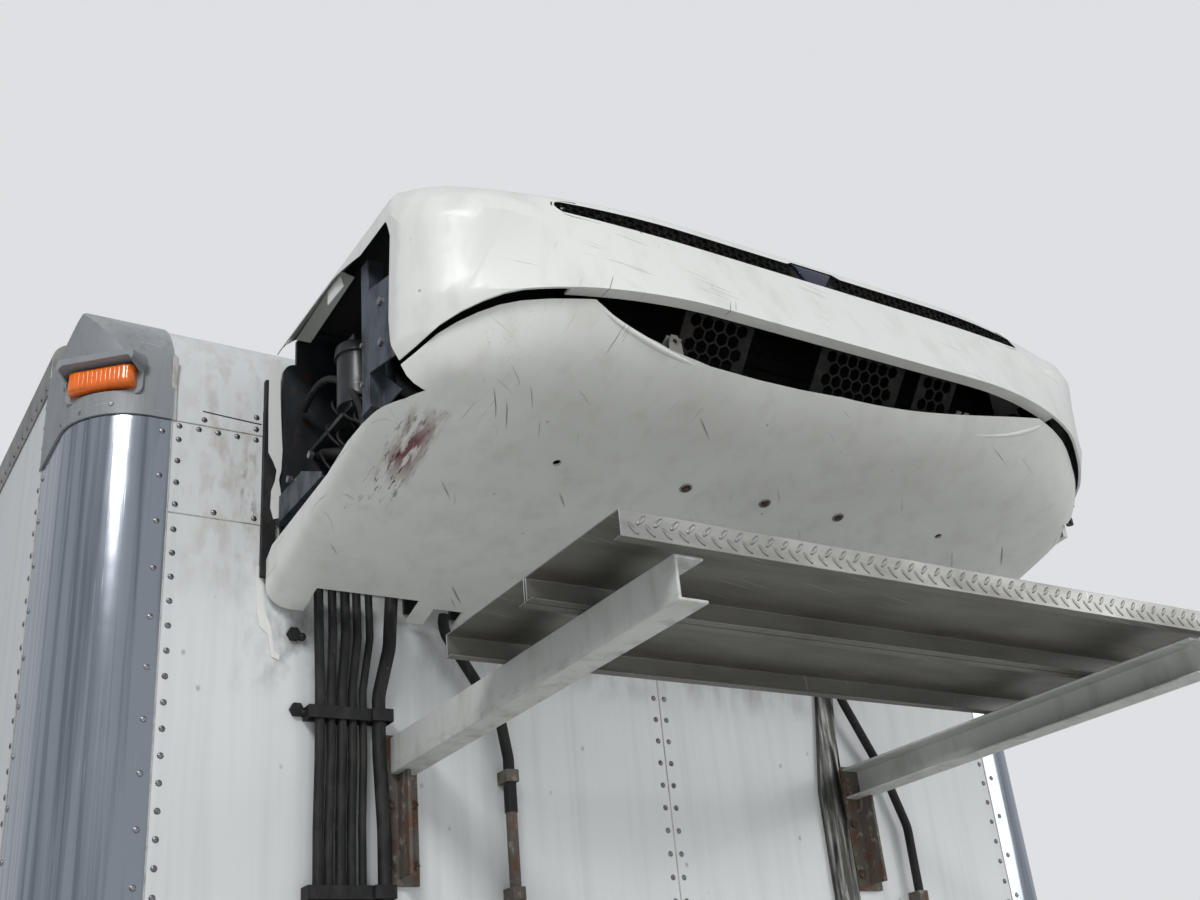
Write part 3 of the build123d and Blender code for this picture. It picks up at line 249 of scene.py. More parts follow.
@dataclass(frozen=True)
class Finish:
    """A procedural material, from its base colour and gloss up through its layers.

    Attributes:
        name: Material name.
        slot: The record's material slot; not used.
        colour: Base sRGB colour.
        roughness: Base roughness.
        metallic: 1 for bare metal.
        tint: Second base colour for broad variation.
        patch: Size of that variation in mm.
        grain: Size and depth of the fine relief in mm.
        swell: Size and depth of the broad waviness in mm.
        coat: Clear coat weight.
        glow: Subsurface weight of a translucent moulding.
        shine: Specular level, lower than 0.5 for sooty or dusty surfaces.
        layers: What lies over the base.
    """
    name: str
    slot: str
    colour: str
    roughness: float
    metallic: float = 0.0
    tint: str = ""
    patch: float = 300.0
    grain: tuple[float, float] = (2.0, 0.05)
    swell: tuple[float, float] = (0.0, 0.0)
    coat: float = 0.0
    glow: float = 0.0
    shine: float = 0.5
    layers: tuple[Layer, ...] = field(default=())

    def build(self) -> bpy.types.Material:
        """Build the material's node tree.

        Returns:
            The material, or the one made before under the same name.
        """
        known = bpy.data.materials.get(self.name)
        if known:
            return known
        material = bpy.data.materials.new(self.name)
        material.use_nodes = True
        tree = material.node_tree
        shader = tree.nodes["Principled BSDF"].inputs
        for label, value in (("Metallic", self.metallic), ("Specular IOR Level", self.shine),
                             ("Coat Weight", self.coat), ("Coat Roughness", COAT_ROUGHNESS),
                             ("Subsurface Weight", self.glow), ("Subsurface Scale", GLOW_DEPTH)):
            shader[label].default_value = value
        place = add_node(tree, "ShaderNodeTexCoord").outputs["Object"]
        broad = self.noise(tree, place, (self.patch,) * 3, 0.0)
        colour = add_node(tree, "ShaderNodeMix", {"data_type": "RGBA", 6: linear(self.colour),
                                                  7: linear(self.tint or self.colour)}, {0: broad}).outputs[2]
        rough = ramp(tree, broad, 0.3, 0.7, max(self.roughness - UNEVEN, 0.03), self.roughness + UNEVEN)
        relief: list[tuple[Any, float]] = []
        for (size, depth), seed, detail in ((self.swell, 3.0, 1.5), (self.grain, 7.0, 3.0)):
            if depth:
                relief.append((self.noise(tree, place, (size,) * 3, seed, detail), depth))
        for layer in self.layers:
            mask = self.mask(tree, place, layer)
            colour = add_node(tree, "ShaderNodeMix", {"data_type": "RGBA", 7: linear(layer.colour)},
                              {0: mask, 6: colour}).outputs[2]
            if layer.rough is not None:
                rough = add_node(tree, "ShaderNodeMix", {3: layer.rough}, {0: mask, 2: rough}).outputs[0]
            if layer.depth:
                relief.append((mask, layer.depth))
        normal = None
        for height, depth in relief:
            below = {"Normal": normal} if normal else {}
            normal = add_node(tree, "ShaderNodeBump", {
                "Distance": abs(depth) / 1000, "invert": depth < 0, "Strength": 1.0},
                {"Height": height, **below}).outputs[0]
        for label, socket in (("Base Color", colour), ("Roughness", rough), ("Normal", normal)):
            if socket:
                tree.links.new(socket, shader[label])
        return material

    @staticmethod
    def scaled(tree: Any, place: Any, size: Point, seed: float, turn: Point = (0.0, 0.0, 0.0)) -> Any:
        """Scale object coordinates so that one unit is a mark's size.

        Args:
            tree: The node tree.
            place: The coordinates' socket.
            size: Mark size in mm along each axis.
            seed: Shift that makes layers differ.
            turn: Rotation of the pattern's axes in degrees.

        Returns:
            The scaled coordinates' socket.
        """
        return add_node(tree, "ShaderNodeMapping", {
            "vector_type": "TEXTURE", "Scale": tuple(s / 1000 for s in size),
            "Rotation": tuple(math.radians(angle) for angle in turn),
            "Location": (seed * 0.37, seed * 0.61, seed * 0.23)}, {"Vector": place}).outputs[0]

    @classmethod
    def noise(cls, tree: Any, place: Any, size: Point, seed: float, detail: float = 5.0) -> Any:
        """Cloudy noise with features of the given size.

        Args:
            tree: The node tree.
            place: The coordinates' socket.
            size: Feature size in mm along each axis.
            seed: Shift of the pattern.
            detail: Octaves.

        Returns:
            The noise value's socket.
        """
        return add_node(tree, "ShaderNodeTexNoise", {"Scale": 1.0, "Detail": detail, "Roughness": 0.55},
                        {"Vector": cls.scaled(tree, place, size, seed)}).outputs[0]

    @classmethod
    def level(cls, tree: Any, place: Any, layer: Layer) -> Any:
        """The pattern of a layer, before its cover decides what shows.

        Args:
            tree: The node tree.
            place: The coordinates' socket.
            layer: The layer.

        Returns:
            The pattern's socket.
        """
        if layer.pattern is PATCH:
            return cls.noise(tree, place, layer.size, layer.seed)
        spot = cls.scaled(tree, place, layer.size, layer.seed, layer.turn)
        if layer.pattern is BANDS:
            return add_node(tree, "ShaderNodeTexWave", {"Scale": math.pi / 10, "Distortion": 0.0},
                            {"Vector": spot}).outputs[1]
        cells = add_node(tree, "ShaderNodeTexVoronoi", {"Scale": 1.0}, {"Vector": spot}).outputs[0]
        return calc(tree, "SUBTRACT", 1.0, cells)

    @classmethod
    def mask(cls, tree: Any, place: Any, layer: Layer) -> Any:
        """Where a layer shows, from 0 to its amount.

        Args:
            tree: The node tree.
            place: The coordinates' socket.
            layer: The layer.

        Returns:
            The mask's socket.
        """
        if layer.pattern is PLAIN:
            shown = add_node(tree, "ShaderNodeValue").outputs[0]
            shown.default_value = layer.amount
        else:
            shown = ramp(tree, cls.level(tree, place, layer), layer.cover - layer.soft,
                         layer.cover + layer.soft, high=layer.amount)
        if layer.pattern is SCRATCH:
            cluster = cls.noise(tree, place, (SCRATCH_CLUSTER,) * 3, layer.seed + 9, 2.0)
            shown = calc(tree, "MULTIPLY", shown, ramp(tree, cluster, 0.5, 0.6))
        if layer.where:
            away = place
            for operation, *term in (("SUBTRACT", layer.where[0]), ("ABSOLUTE",), ("DIVIDE", layer.where[1])):
                away = calc(tree, operation, away, *term, kind="ShaderNodeVectorMath")
            axes = add_node(tree, "ShaderNodeSeparateXYZ", links={0: away}).outputs
            far = calc(tree, "MAXIMUM", calc(tree, "MAXIMUM", axes[0], axes[1]), axes[2])
            shown = calc(tree, "MULTIPLY", shown, ramp(tree, far, 1.0, 1.0 - layer.edge))
        if layer.facing:
            normal = add_node(tree, "ShaderNodeNewGeometry").outputs["Normal"]
            along = add_node(tree, "ShaderNodeVectorMath", {"operation": "DOT_PRODUCT", 1: layer.facing},
                             {0: normal}).outputs["Value"]
            shown = calc(tree, "MULTIPLY", shown, ramp(tree, along, 0.25, 0.75))
        return shown


FOAM_CUT = Layer(PLAIN, "D9C48C", 1.0, rough=0.9, where=((0.0, 1.16, 1.2), (1.3, 0.004, 1.36)), edge=0.01,
                 facing=(0, 1, 0))
# Coil coated aluminium skin: clean white with faint rain streaks, a little quilting, beige splashes by
# the unit and painted shade on the wall under it, so that it reads as thin sheet on foam
WHITE_SKIN = Finish(
    "coil coated aluminium", "white_skin", "D6D9D9", 0.32, tint="CDD0D1", patch=700, grain=(3, 0.02),
    swell=(260, 0.5), coat=0.25, layers=(
        Layer(PATCH, "9A9C96", 0.2, (34, 34, 900), 0.6, 0.14, 0.5),
        Layer(SPECK, "6B655A", 0.5, (90, 90, 120), 0.955, 0.02, 0.6, seed=3),
        Layer(PATCH, "A08D72", 0.45, (32, 32, 75), 0.55, 0.08, 0.6,
              where=((-0.98, 0, 2.2), (0.14, 0.2, 0.42)), edge=0.8, seed=5),
        Layer(PATCH, "5B3B28", 0.75, (30, 30, 70), 0.6, 0.06, 0.85,
              where=((-0.935, 0, 2.08), (0.05, 0.1, 0.17)), edge=0.7, seed=8),
        # painted shade: the next two dark patches, on the wall under the unit
        Layer(PATCH, "2E2A26", 0.7, (60, 60, 110), 0.5, 0.1, 0.8, where=((-0.8, 0, 1.79), (0.2, 0.1, 0.14)),
              edge=0.8, seed=14),
        Layer(PATCH, "3A322B", 0.5, (60, 60, 160), 0.52, 0.1, 0.8, where=((0.0, 0, 1.8), (0.85, 0.1, 0.1)),
              edge=0.8, seed=15),
        Layer(PATCH, "9A9888", 0.4, (120, 120, 60), 0.58, 0.15, 0.6, where=((0, 0, 0.1), (1.5, 0.2, 0.35)),
              edge=0.9, seed=5),
        FOAM_CUT))
# Polyurethane foam: yellow cream, open pores with painted shade in them that darkens the cut face
FOAM = Finish(
    "cut polyurethane foam", "foam_core", "D9C48C", 0.9, tint="C7AC72", patch=60, grain=(2.5, 0.6), layers=(
        # painted shade: darker specks in the pores
        Layer(SPECK, "8F7746", 0.5, (4, 4, 4), 0.8, 0.1, depth=-0.5),))
# Glass fibre liner: off-white, glossy, faint quilting of the weave and rubbed marks from pallets
LINER = Finish(
    "glass fibre liner", "liner_white", "D8DAD6", 0.35, tint="CBCDC8", patch=350, grain=(9, 0.12),
    swell=(120, 0.4), layers=(
        Layer(SCRATCH, "77746C", 0.5, (500, 500, 12), 0.88, 0.03, 0.6),
        Layer(PATCH, "8D8A80", 0.5, (200, 200, 90), 0.55, 0.12, 0.6,
              where=((0, 0.6, 0.2), (1.3, 0.7, 0.35)), edge=0.8)))
# Mill aluminium: soft grey metal with dull warm oxide clouds, drawn lines, handling scratches and painted
# shade under the planks
MILL = Finish(
    "mill aluminium", "mill_aluminium", "A6A5A1", 0.46, 1.0, tint="92918C", patch=160, grain=(1.2, 0.03),
    layers=(
        # painted shade: darker, rougher colour on the planks' faces that look down
        Layer(PLAIN, "6F6C64", 0.6, rough=0.6, facing=(0, 0, -1),
              where=((0, -0.78, 1.6), (0.8, 0.32, 0.06)), edge=0.05),
        Layer(PATCH, "4E4A42", 0.4, (220, 60, 60), 0.56, 0.14, 0.7),
        Layer(SCRATCH, "D5D6D4", 0.5, (420, 5, 420), 0.88, 0.02, 0.3, turn=(0, 0, 12))))
# Polished stainless sheet: mirror-like, long upright ripples that bend the reflections, with painted dark
# reflections along them, and hairlines
STAINLESS = Finish(
    "polished stainless steel", "stainless_post", "B6BBC1", 0.14, 1.0, tint="A8AEB6", patch=400,
    grain=(1.0, 0.0), swell=(110, 0.7), layers=(
        # painted reflection: long upright dark streaks for mirrored surroundings; the same mask raises the
        # ripples
        Layer(PATCH, "4F5762", 0.5, (20, 20, 1100), 0.55, 0.08, 0.22, depth=0.12),
        Layer(SCRATCH, "E4E6E8", 0.4, (4, 4, 300), 0.88, 0.02, 0.4, seed=4)))
# Grey ABS moulding: even mid grey, fine grain, lighter on faces that look up, dusty streaks
MOULDING = Finish(
    "grey moulded plastic", "grey_moulding", "8B8F93", 0.48, tint="7E8286", patch=140, grain=(1.2, 0.05),
    layers=(
        Layer(PATCH, "B9BCBD", 0.5, (160, 160, 160), 0.5, 0.2, 0.6, facing=(0, 0, 1)),
        Layer(PATCH, "6A6862", 0.3, (14, 14, 90), 0.6, 0.08, 0.7),
        Layer(SCRATCH, "C9CBCB", 0.6, (200, 200, 5), 0.88, 0.02, 0.5)))
# Amber acrylic lens: saturated orange that light enters, glossy, a little dust along its foot
AMBER = Finish(
    "amber acrylic lens", "amber_lens", "F47C10", 0.14, tint="E86408", patch=30, grain=(3, 0.0), coat=0.6,
    glow=0.25, layers=(
        Layer(PATCH, "9A4A10", 0.35, (12, 12, 20), 0.6, 0.1, 0.5),))
# White gelcoat: orange peel gloss, painted shade in grey clouds on faces that look down and forward, fine
# black scratches from branches, red brown scuffs low on the left front corner, and painted shade, near black,
# inside
GELCOAT = Finish(
    "white gelcoat", "white_shell", "DEDFDC", 0.4, tint="D7D8D3", patch=420, grain=(4, 0.03),
    swell=(340, 0.5), coat=0.08, layers=(
        # painted shade: grey clouds on the faces that look down and forward, such as the belly
        Layer(PATCH, "A5A49B", 0.3, (260, 260, 160), 0.52, 0.2, 0.5, facing=(0, -0.3, -1)),
        Layer(PATCH, "A3A29A", 0.22, (50, 50, 260), 0.6, 0.12, 0.5),
        Layer(SCRATCH, "57544E", 0.7, (330, 330, 6), 0.88, 0.03, 0.6, turn=(0, 14, 20), seed=2),
        Layer(SCRATCH, "2F2D2A", 0.8, (7, 300, 300), 0.885, 0.02, 0.6, turn=(0, 24, 0),
              where=((-0.48, -0.8, 2.22), (0.3, 0.3, 0.2)), edge=0.4, seed=6),
        Layer(SCRATCH, "4A4741", 0.75, (300, 300, 7), 0.88, 0.03, 0.6, turn=(-20, 30, -40),
              where=((-0.72, -0.6, 2.06), (0.24, 0.36, 0.2)), edge=0.5, seed=9),
        Layer(SPECK, "4A463F", 0.6, (90, 90, 90), 0.968, 0.014, 0.6, seed=7),
        Layer(SCRATCH, "45423D", 0.7, (5, 260, 5), 0.88, 0.03, 0.6, turn=(-17, 0, 8),
              where=((-0.8, -0.6, 2.05), (0.16, 0.3, 0.16)), edge=0.5, seed=3),
        Layer(PATCH, "64231F", 0.92, (14, 200, 16), 0.47, 0.05, 0.6,
              where=((-0.815, -0.5, 1.985), (0.042, 0.115, 0.032)), edge=0.75, seed=8),
        Layer(PATCH, "1E1614", 0.9, (6, 240, 8), 0.6, 0.03, 0.6,
              where=((-0.82, -0.48, 1.975), (0.05, 0.16, 0.045)), edge=0.6, seed=12),
        # painted shade: near black on the inner faces that look down and to the rear
        Layer(PLAIN, "191A1B", 1.0, rough=0.8, facing=(0, 0, -1),
              where=((0, -0.4, 2.42), (0.874, 0.46, 0.14)), edge=0.02),
        Layer(PLAIN, "191A1B", 1.0, rough=0.8, facing=(0, 1, 0), where=((0, -0.5, 2.2), (0.905, 0.46, 0.4)),
              edge=0.02)))
# Black nylon grille: sooty near black with pale dust on edges that face up
GRILLE = Finish(
    "black nylon", "black_grille", "0F1011", 0.6, tint="17181A", patch=60, grain=(1.0, 0.05), shine=0.2,
    layers=(
        Layer(PATCH, "4A4238", 0.3, (30, 30, 16), 0.56, 0.12, 0.8),))
# Navy enamel plate between the grilles: deep blue, glossy, small chips
NAVY = Finish(
    "navy enamel", "black_grille", "161D2E", 0.25, tint="1C2438", patch=40, grain=(3, 0.01), coat=0.4,
    layers=(
        Layer(SPECK, "B9BBBD", 0.7, (14, 14, 14), 0.94, 0.02, 0.5),))
# Frame steel: dark blue grey primer, chalky, oil stains and thin rust; this darker copy of the primer, for
# the parts deep in the bay, is painted shade
FRAME = Finish(
    "primed frame steel", "frame_steel", "2B3036", 0.5, tint="232729", patch=110, grain=(1.6, 0.06),
    shine=0.35, layers=(
        Layer(PATCH, "4A3124", 0.5, (30, 30, 30), 0.63, 0.05, 0.85, depth=0.15),
        Layer(PATCH, "0E0D0C", 0.7, (60, 60, 160), 0.52, 0.12, 0.4, seed=4)))
# Struts of the bay: the same primer as a lighter copy, beside the darker frame copy that is painted shade
STRUT = Finish(
    "lighter frame primer", "frame_steel", "4A525C", 0.45, tint="3C434C", patch=60, grain=(1.6, 0.05),
    shine=0.4, layers=(
        Layer(PATCH, "1A1A1B", 0.8, (40, 40, 90), 0.56, 0.08, 0.6),
        Layer(SPECK, "55372A", 0.7, (30, 30, 30), 0.93, 0.04, 0.85, seed=5)))
# Cast machinery: oily black paint, coarse sand-cast skin, dust where the air drives it, bare spots
MACHINERY = Finish(
    "oily cast iron", "machinery", "141415", 0.45, tint="1E1D1C", patch=80, grain=(3.5, 0.3), shine=0.4,
    layers=(
        Layer(PATCH, "3A342B", 0.5, (50, 50, 50), 0.56, 0.12, 0.8),
        Layer(SPECK, "8A857B", 0.5, (22, 22, 22), 0.93, 0.03, 0.4)))
# Fin stock: upright aluminium fins with painted shade in the gaps between them, and near black in broad
# patches
COIL = Finish(
    "aluminium fin stock", "coil_metal", "4E5051", 0.5, 1.0, tint="3C3D3E", patch=90, grain=(1, 0.0), layers=(
        # painted shade: dark bands in the gaps between the fins
        Layer(BANDS, "0C0D0D", 0.9, (4.4, 4.4, 4.4), 0.5, 0.2, 0.7, depth=-0.8),
        Layer(PATCH, "1E1B17", 0.8, (70, 70, 70), 0.5, 0.12, 0.9)))
# Filter can: dark satin paint with oily dust and a rubbed rim
CANISTER = Finish(
    "painted filter can", "canister_paint", "2E3033", 0.38, tint="26282A", patch=50, grain=(2, 0.03),
    coat=0.1, shine=0.4, layers=(
        Layer(PATCH, "14120F", 0.6, (30, 30, 60), 0.54, 0.1, 0.6),
        Layer(SCRATCH, "8C8E90", 0.6, (120, 120, 5), 0.88, 0.03, 0.4)))
# EPDM rubber: soft black, chalked grey on top, wiped marks
RUBBER = Finish(
    "black rubber", "black_rubber", "131314", 0.6, tint="1C1C1D", patch=70, grain=(1.5, 0.06), shine=0.3,
    layers=(
        Layer(PATCH, "4A4843", 0.3, (24, 24, 60), 0.58, 0.1, 0.8),
        Layer(SPECK, "8B877D", 0.4, (26, 26, 26), 0.95, 0.02, 0.8)))
# Weathered galvanised steel: grey brown zinc under brown rust and white bloom
GALVANISED = Finish(
    "rusted galvanised steel", "galvanised", "65605A", 0.6, tint="504A44", patch=60, grain=(1.5, 0.15),
    shine=0.4, layers=(
        Layer(PATCH, "5C3B28", 0.8, (35, 35, 50), 0.55, 0.08, 0.88, depth=0.2),
        Layer(PATCH, "A9A59C", 0.5, (20, 20, 26), 0.63, 0.06, 0.7, seed=5)))
# Crinkled grey foil round the duct: dull metal in long upright folds, with painted shade, dark to black, in
# the deep ones
FOIL = Finish(
    "crinkled aluminium foil", "galvanised", "858581", 0.42, 1.0, tint="62615D", patch=70, grain=(2, 0.0),
    swell=(38, 2.2), layers=(
        # painted shade: dark to black colour in the folds, over their relief
        Layer(PATCH, "3B3935", 0.75, (15, 15, 170), 0.54, 0.06, 0.55, depth=-1.4),
        Layer(PATCH, "151413", 0.9, (22, 22, 240), 0.6, 0.04, 0.6, depth=-1.0, seed=7)))
# Arm paint: chalky grey white, algae green and brown rust along the lower flange
ARM = Finish(
    "weathered white paint", "arm_paint", "C6C8C5", 0.5, tint="B8BAB6", patch=220, grain=(2, 0.05), layers=(
        Layer(PATCH, "7B7A5A", 0.6, (70, 70, 20), 0.5, 0.12, 0.75,
              where=((0, -0.55, 1.513), (0.7, 0.6, 0.016)), edge=0.6),
        Layer(PATCH, "5C3F2A", 0.8, (30, 30, 12), 0.6, 0.06, 0.85, depth=0.2,
              where=((0, -0.55, 1.515), (0.7, 0.6, 0.02)), edge=0.5, seed=3),
        Layer(PATCH, "4E2C1B", 0.85, (20, 20, 20), 0.5, 0.08, 0.85,
              where=((0, -1.03, 1.576), (0.7, 0.03, 0.014)), edge=0.5, seed=6),
        Layer(PATCH, "817B6D", 0.3, (50, 50, 160), 0.6, 0.1, 0.7, seed=8)))
# Evaporator case: powder-coated white, smooth, dusty near the fans, water marks under the joints
EVAPORATOR = Finish(
    "powder coated case", "evaporator_case", "CDD0D2", 0.42, tint="C3C6C8", patch=240, grain=(2.2, 0.06),
    layers=(
        Layer(PATCH, "83837C", 0.3, (60, 60, 180), 0.58, 0.12, 0.6),))
# Fan plastic: dark charcoal, slightly glossy, pale dust on the leading edges
FAN = Finish(
    "black fan plastic", "fan_black", "1E1F21", 0.42, tint="2A2B2D", patch=50, grain=(1.4, 0.04), layers=(
        Layer(PATCH, "7D7A72", 0.4, (22, 22, 22), 0.58, 0.1, 0.8),))
# Zinc plated fasteners: bright grey metal, dulled, brown in the recesses
ZINC = Finish(
    "zinc plated steel", "frame_steel", "9EA0A0", 0.36, 1.0, tint="84868A", patch=8, grain=(1, 0.02), layers=(
        Layer(PATCH, "5A4632", 0.55, (7, 7, 7), 0.58, 0.08, 0.8),))
# Rusty fasteners: dull brown over grey
RUST = Finish(
    "rusted steel", "galvanised", "4A3A30", 0.8, tint="3A2F29", patch=9, grain=(1.2, 0.3), shine=0.3, layers=(
        Layer(PATCH, "7C6A58", 0.6, (5, 5, 5), 0.57, 0.08, 0.9),))
# Grey painted tabs behind the air opening: light, dusty, chipped at the holes
TAB = Finish(
    "grey painted tab", "frame_steel", "A3A199", 0.5, tint="8D8B84", patch=30, grain=(1.5, 0.04), layers=(
        Layer(PATCH, "3A3733", 0.6, (14, 14, 14), 0.58, 0.06, 0.7),))
# Bare aluminium rivet heads: dull dark grey metal, dirt in a thin ring
RIVET = Finish(
    "dull aluminium rivet", "mill_aluminium", "8A8B8B", 0.36, 1.0, tint="76777A", patch=30, grain=(1, 0.02),
    layers=(
        Layer(PATCH, "45433E", 0.6, (9, 9, 9), 0.55, 0.1, 0.7),))
# Putty and sealant: matt off-white bead, finger-smoothed, dirty along its edges
SEALANT = Finish(
    "sealant bead", "white_skin", "B9BAB4", 0.6, tint="A9AAA3", patch=40, grain=(5, 0.4), layers=(
        Layer(PATCH, "6E6B61", 0.5, (20, 20, 30), 0.56, 0.08, 0.8),))


NODE_FINISHES: dict[Finish, str] = {
    WHITE_SKIN: "front_panel_left front_panel_right front_panel_upper side_wall_left side_wall_right "
                "roof_nose roof_panel",
    FOAM: "front_wall_core",
    LINER: "front_wall_liner",
    MILL: "front_sill roof_rail_left roof_rail_right load_floor platform_plank_front platform_plank_rear",
    STAINLESS: "corner_post_left corner_post_right",
    MOULDING: "corner_cap_left corner_cap_right",
    AMBER: "marker_lamp_left marker_lamp_right",
    GELCOAT: "upper_shell lower_shell service_door",
    GRILLE: "upper_grille guard_left guard_centre guard_right",
    NAVY: "grille_centre_piece",
    FRAME: "unit_frame bay_post_right",
    STRUT: "bay_post_left side_tray bay_bracket",
    TAB: "shell_tabs",
    MACHINERY: "engine_block compressor",
    COIL: "condenser_coil",
    CANISTER: "filter_canister",
    RUBBER: "unit_seal hose_bundle thick_hose drain_hose hose_right hose_clips",
    GALVANISED: "coupling_block coupling_block_right drain_pipe arm_bracket_left arm_bracket_right "
                "pipe_clips",
    FOIL: "wall_duct",
    ARM: "platform_arm_left platform_arm_right",
    EVAPORATOR: "evaporator_housing",
    FAN: "evaporator_fan_left evaporator_fan_right fan_motors",
}
FINISH_OF = {node: finish for finish, nodes in NODE_FINISHES.items() for node in nodes.split()}


@dataclass
class Kit:
    """Makes pieces and counts them."""
    frame: dict
    counts: dict[str, int] = field(default_factory=dict)
    trees: dict[str, BVHTree] = field(default_factory=dict)

    def hit(self, node: str, start: Point, towards: Point) -> tuple[Vector, Vector]:
        """Find where a ray meets a CAD node.

        Args:
            node: The CAD node.
            start: Where the ray starts.
            towards: Its direction.

        Returns:
            The place met and the surface's normal there, turned against the ray.
        """
        if node not in self.trees:
            work = bmesh.new()
            work.from_mesh(self.frame["nodes"][node].data)
            self.trees[node] = BVHTree.FromBMesh(work)
            work.free()
        along = Vector(towards).normalized()
        place, normal, _, _ = self.trees[node].ray_cast(Vector(start), along)
        if place is None:
            raise ValueError(f"no surface of {node} from {start}")
        return place, normal if normal.dot(along) < 0 else -normal

    def piece(self, name: str, mesh: bpy.types.Mesh, finish: Finish, body: str = "root",
              replaces: Sequence[str] = ()) -> bpy.types.Object:
        """Make a finished piece from a mesh.

        Args:
            name: Piece name.
            mesh: Its mesh, in place.
            finish: Its material.
            body: The body it moves with.
            replaces: CAD nodes that it stands for.

        Returns:
            The piece.
        """
        made = placed(name, mesh)
        mesh.name = name
        if not mesh.materials:
            mesh.materials.append(finish.build())
        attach(made, body)
        present = [node for node in replaces if node in self.frame["nodes"]]
        if present:
            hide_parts(*present)
        mesh.calc_loop_triangles()
        self.counts[name] = len(mesh.loop_triangles)
        log.info("%s: %d triangles", name, len(mesh.loop_triangles))
        return made

    def heads(self, name: str, rows: Sequence[Row], finish: Finish, scatter: "Scatter",
              body: str = "root") -> None:
        """Make a piece of heads along rows.

        Args:
            name: Piece name.
            rows: The rows.
            finish: Material of the heads.
            scatter: Their kind, sizes and pitch.
            body: The body they move with.
        """
        self.piece(name, scatter.mesh(rows, finish), finish, body)

    def dressed(self, node: str, bevel: float, body: str = "root", angle: float = 32.0, segments: int = 2,
                cutter: bpy.types.Mesh | None = None) -> None:
        """Replace a CAD node by a copy with welded, rounded edges and smooth faces.

        Args:
            node: The CAD node, which is left out where the frame has none of that name.
            bevel: Edge rounding in metres.
            body: The body it moves with.
            angle: Edges sharper than this, in degrees, are rounded.
            segments: Faces across a rounded edge.
            cutter: A solid that is taken away first, or None.
        """
        source = self.frame["nodes"].get(node)
        if source is None:
            return
        mesh = source.data.copy()
        mesh.materials.clear()
        work = bmesh.new()
        work.from_mesh(mesh)
        bmesh.ops.remove_doubles(work, verts=work.verts, dist=WELD)
        bmesh.ops.dissolve_limit(work, angle_limit=math.radians(FLAT), verts=work.verts, edges=work.edges)
        work.to_mesh(mesh)
        work.free()
        if mesh.attributes.get("custom_normal"):
            mesh.attributes.remove(mesh.attributes["custom_normal"])
        helper = placed(node + "_work", mesh)
        if cutter:
            knife = placed(node + "_knife", cutter)
            trim = helper.modifiers.new("trim", "BOOLEAN")
            trim.operation, trim.solver, trim.object = "DIFFERENCE", "EXACT", knife
            trimmed = plain_mesh(helper)
            helper.modifiers.clear()
            helper.data = mesh = trimmed
            bpy.data.objects.remove(knife)
        for polygon in mesh.polygons:
            polygon.use_smooth = True
        rounding = helper.modifiers.new("rounding", "BEVEL")
        rounding.width, rounding.segments = bevel, segments
        rounding.limit_method, rounding.angle_limit = "ANGLE", math.radians(angle)
        rounding.harden_normals = False
        rounding.use_clamp_overlap = True
        helper.modifiers.new("weights", "WEIGHTED_NORMAL").keep_sharp = True
        final = plain_mesh(helper)
        bpy.data.objects.remove(helper)
        self.piece(node + "_dressed", final, FINISH_OF[node], body, (node,))


def placed(name: str, data: Any) -> bpy.types.Object:
    """Put data into the scene as an object.

    Args:
        name: The object's name.
        data: A mesh, curve, camera or lamp.

    Returns:
        The object.
    """
    made = bpy.data.objects.new(name, data)
    bpy.context.scene.collection.objects.link(made)
    return made


def plain_mesh(source: bpy.types.Object) -> bpy.types.Mesh:
    """Evaluate an object's modifiers into a plain mesh.

    Args:
        source: The object.

    Returns:
        The evaluated mesh.
    """
    bpy.context.view_layer.update()
    graph = bpy.context.evaluated_depsgraph_get()
    return bpy.data.meshes.new_from_object(source.evaluated_get(graph), depsgraph=graph)


def grown(seed: bpy.types.Mesh, tree: Any, values: dict[str, Any]) -> bpy.types.Mesh:
    """Run a Geometry Nodes tree on a mesh.

    Args:
        seed: What the tree starts from.
        tree: The tree.
        values: Its inputs by name.

    Returns:
        The plain mesh.
    """
    holder = placed("seed", seed)
    step = holder.modifiers.new("tree", "NODES")
    step.node_group = tree
    for item in tree.interface.items_tree:
        if item.in_out == "INPUT" and item.name in values:
            step[item.identifier] = values[item.name]
    made = plain_mesh(holder)
    bpy.data.objects.remove(holder)
    return made


def baked(work: bmesh.types.BMesh) -> bpy.types.Mesh:
    """Turn a bmesh into a mesh and free it.

    Args:
        work: The bmesh.

    Returns:
        The mesh.
    """
    made = bpy.data.meshes.new("made")
    work.to_mesh(made)
    work.free()
    return made


def joined(meshes: Iterable[bpy.types.Mesh]) -> bpy.types.Mesh:
    """Join meshes into one with flat faces.

    Args:
        meshes: The meshes.

    Returns:
        The joined mesh.
    """
    work = bmesh.new()
    for mesh in meshes:
        work.from_mesh(mesh)
    bmesh.ops.recalc_face_normals(work, faces=work.faces)
    made = baked(work)
    for polygon in made.polygons:
        polygon.use_smooth = False
    return made


def woven(grid: Sequence[Sequence[Vector]], closed: bool = False) -> bpy.types.Mesh:
    """Skin of quads over a grid of points.

    Args:
        grid: Rows of points.
        closed: Whether one flat face closes the rim behind smooth quads.

    Returns:
        The mesh.
    """
    work = bmesh.new()
    rows = [[work.verts.new(point) for point in line] for line in grid]
    for near, far in zip(rows, rows[1:]):
        for k in range(len(near) - 1):
            work.faces.new((near[k], far[k], far[k + 1], near[k + 1]))
    if closed:
        work.faces.new([row[0] for row in rows] + rows[-1][1:] + [row[-1] for row in rows[-2::-1]]
                       + rows[0][-2:0:-1])
        bmesh.ops.recalc_face_normals(work, faces=work.faces)
    made = baked(work)
    for polygon in made.polygons:
        polygon.use_smooth = closed and len(polygon.vertices) == 4
    return made


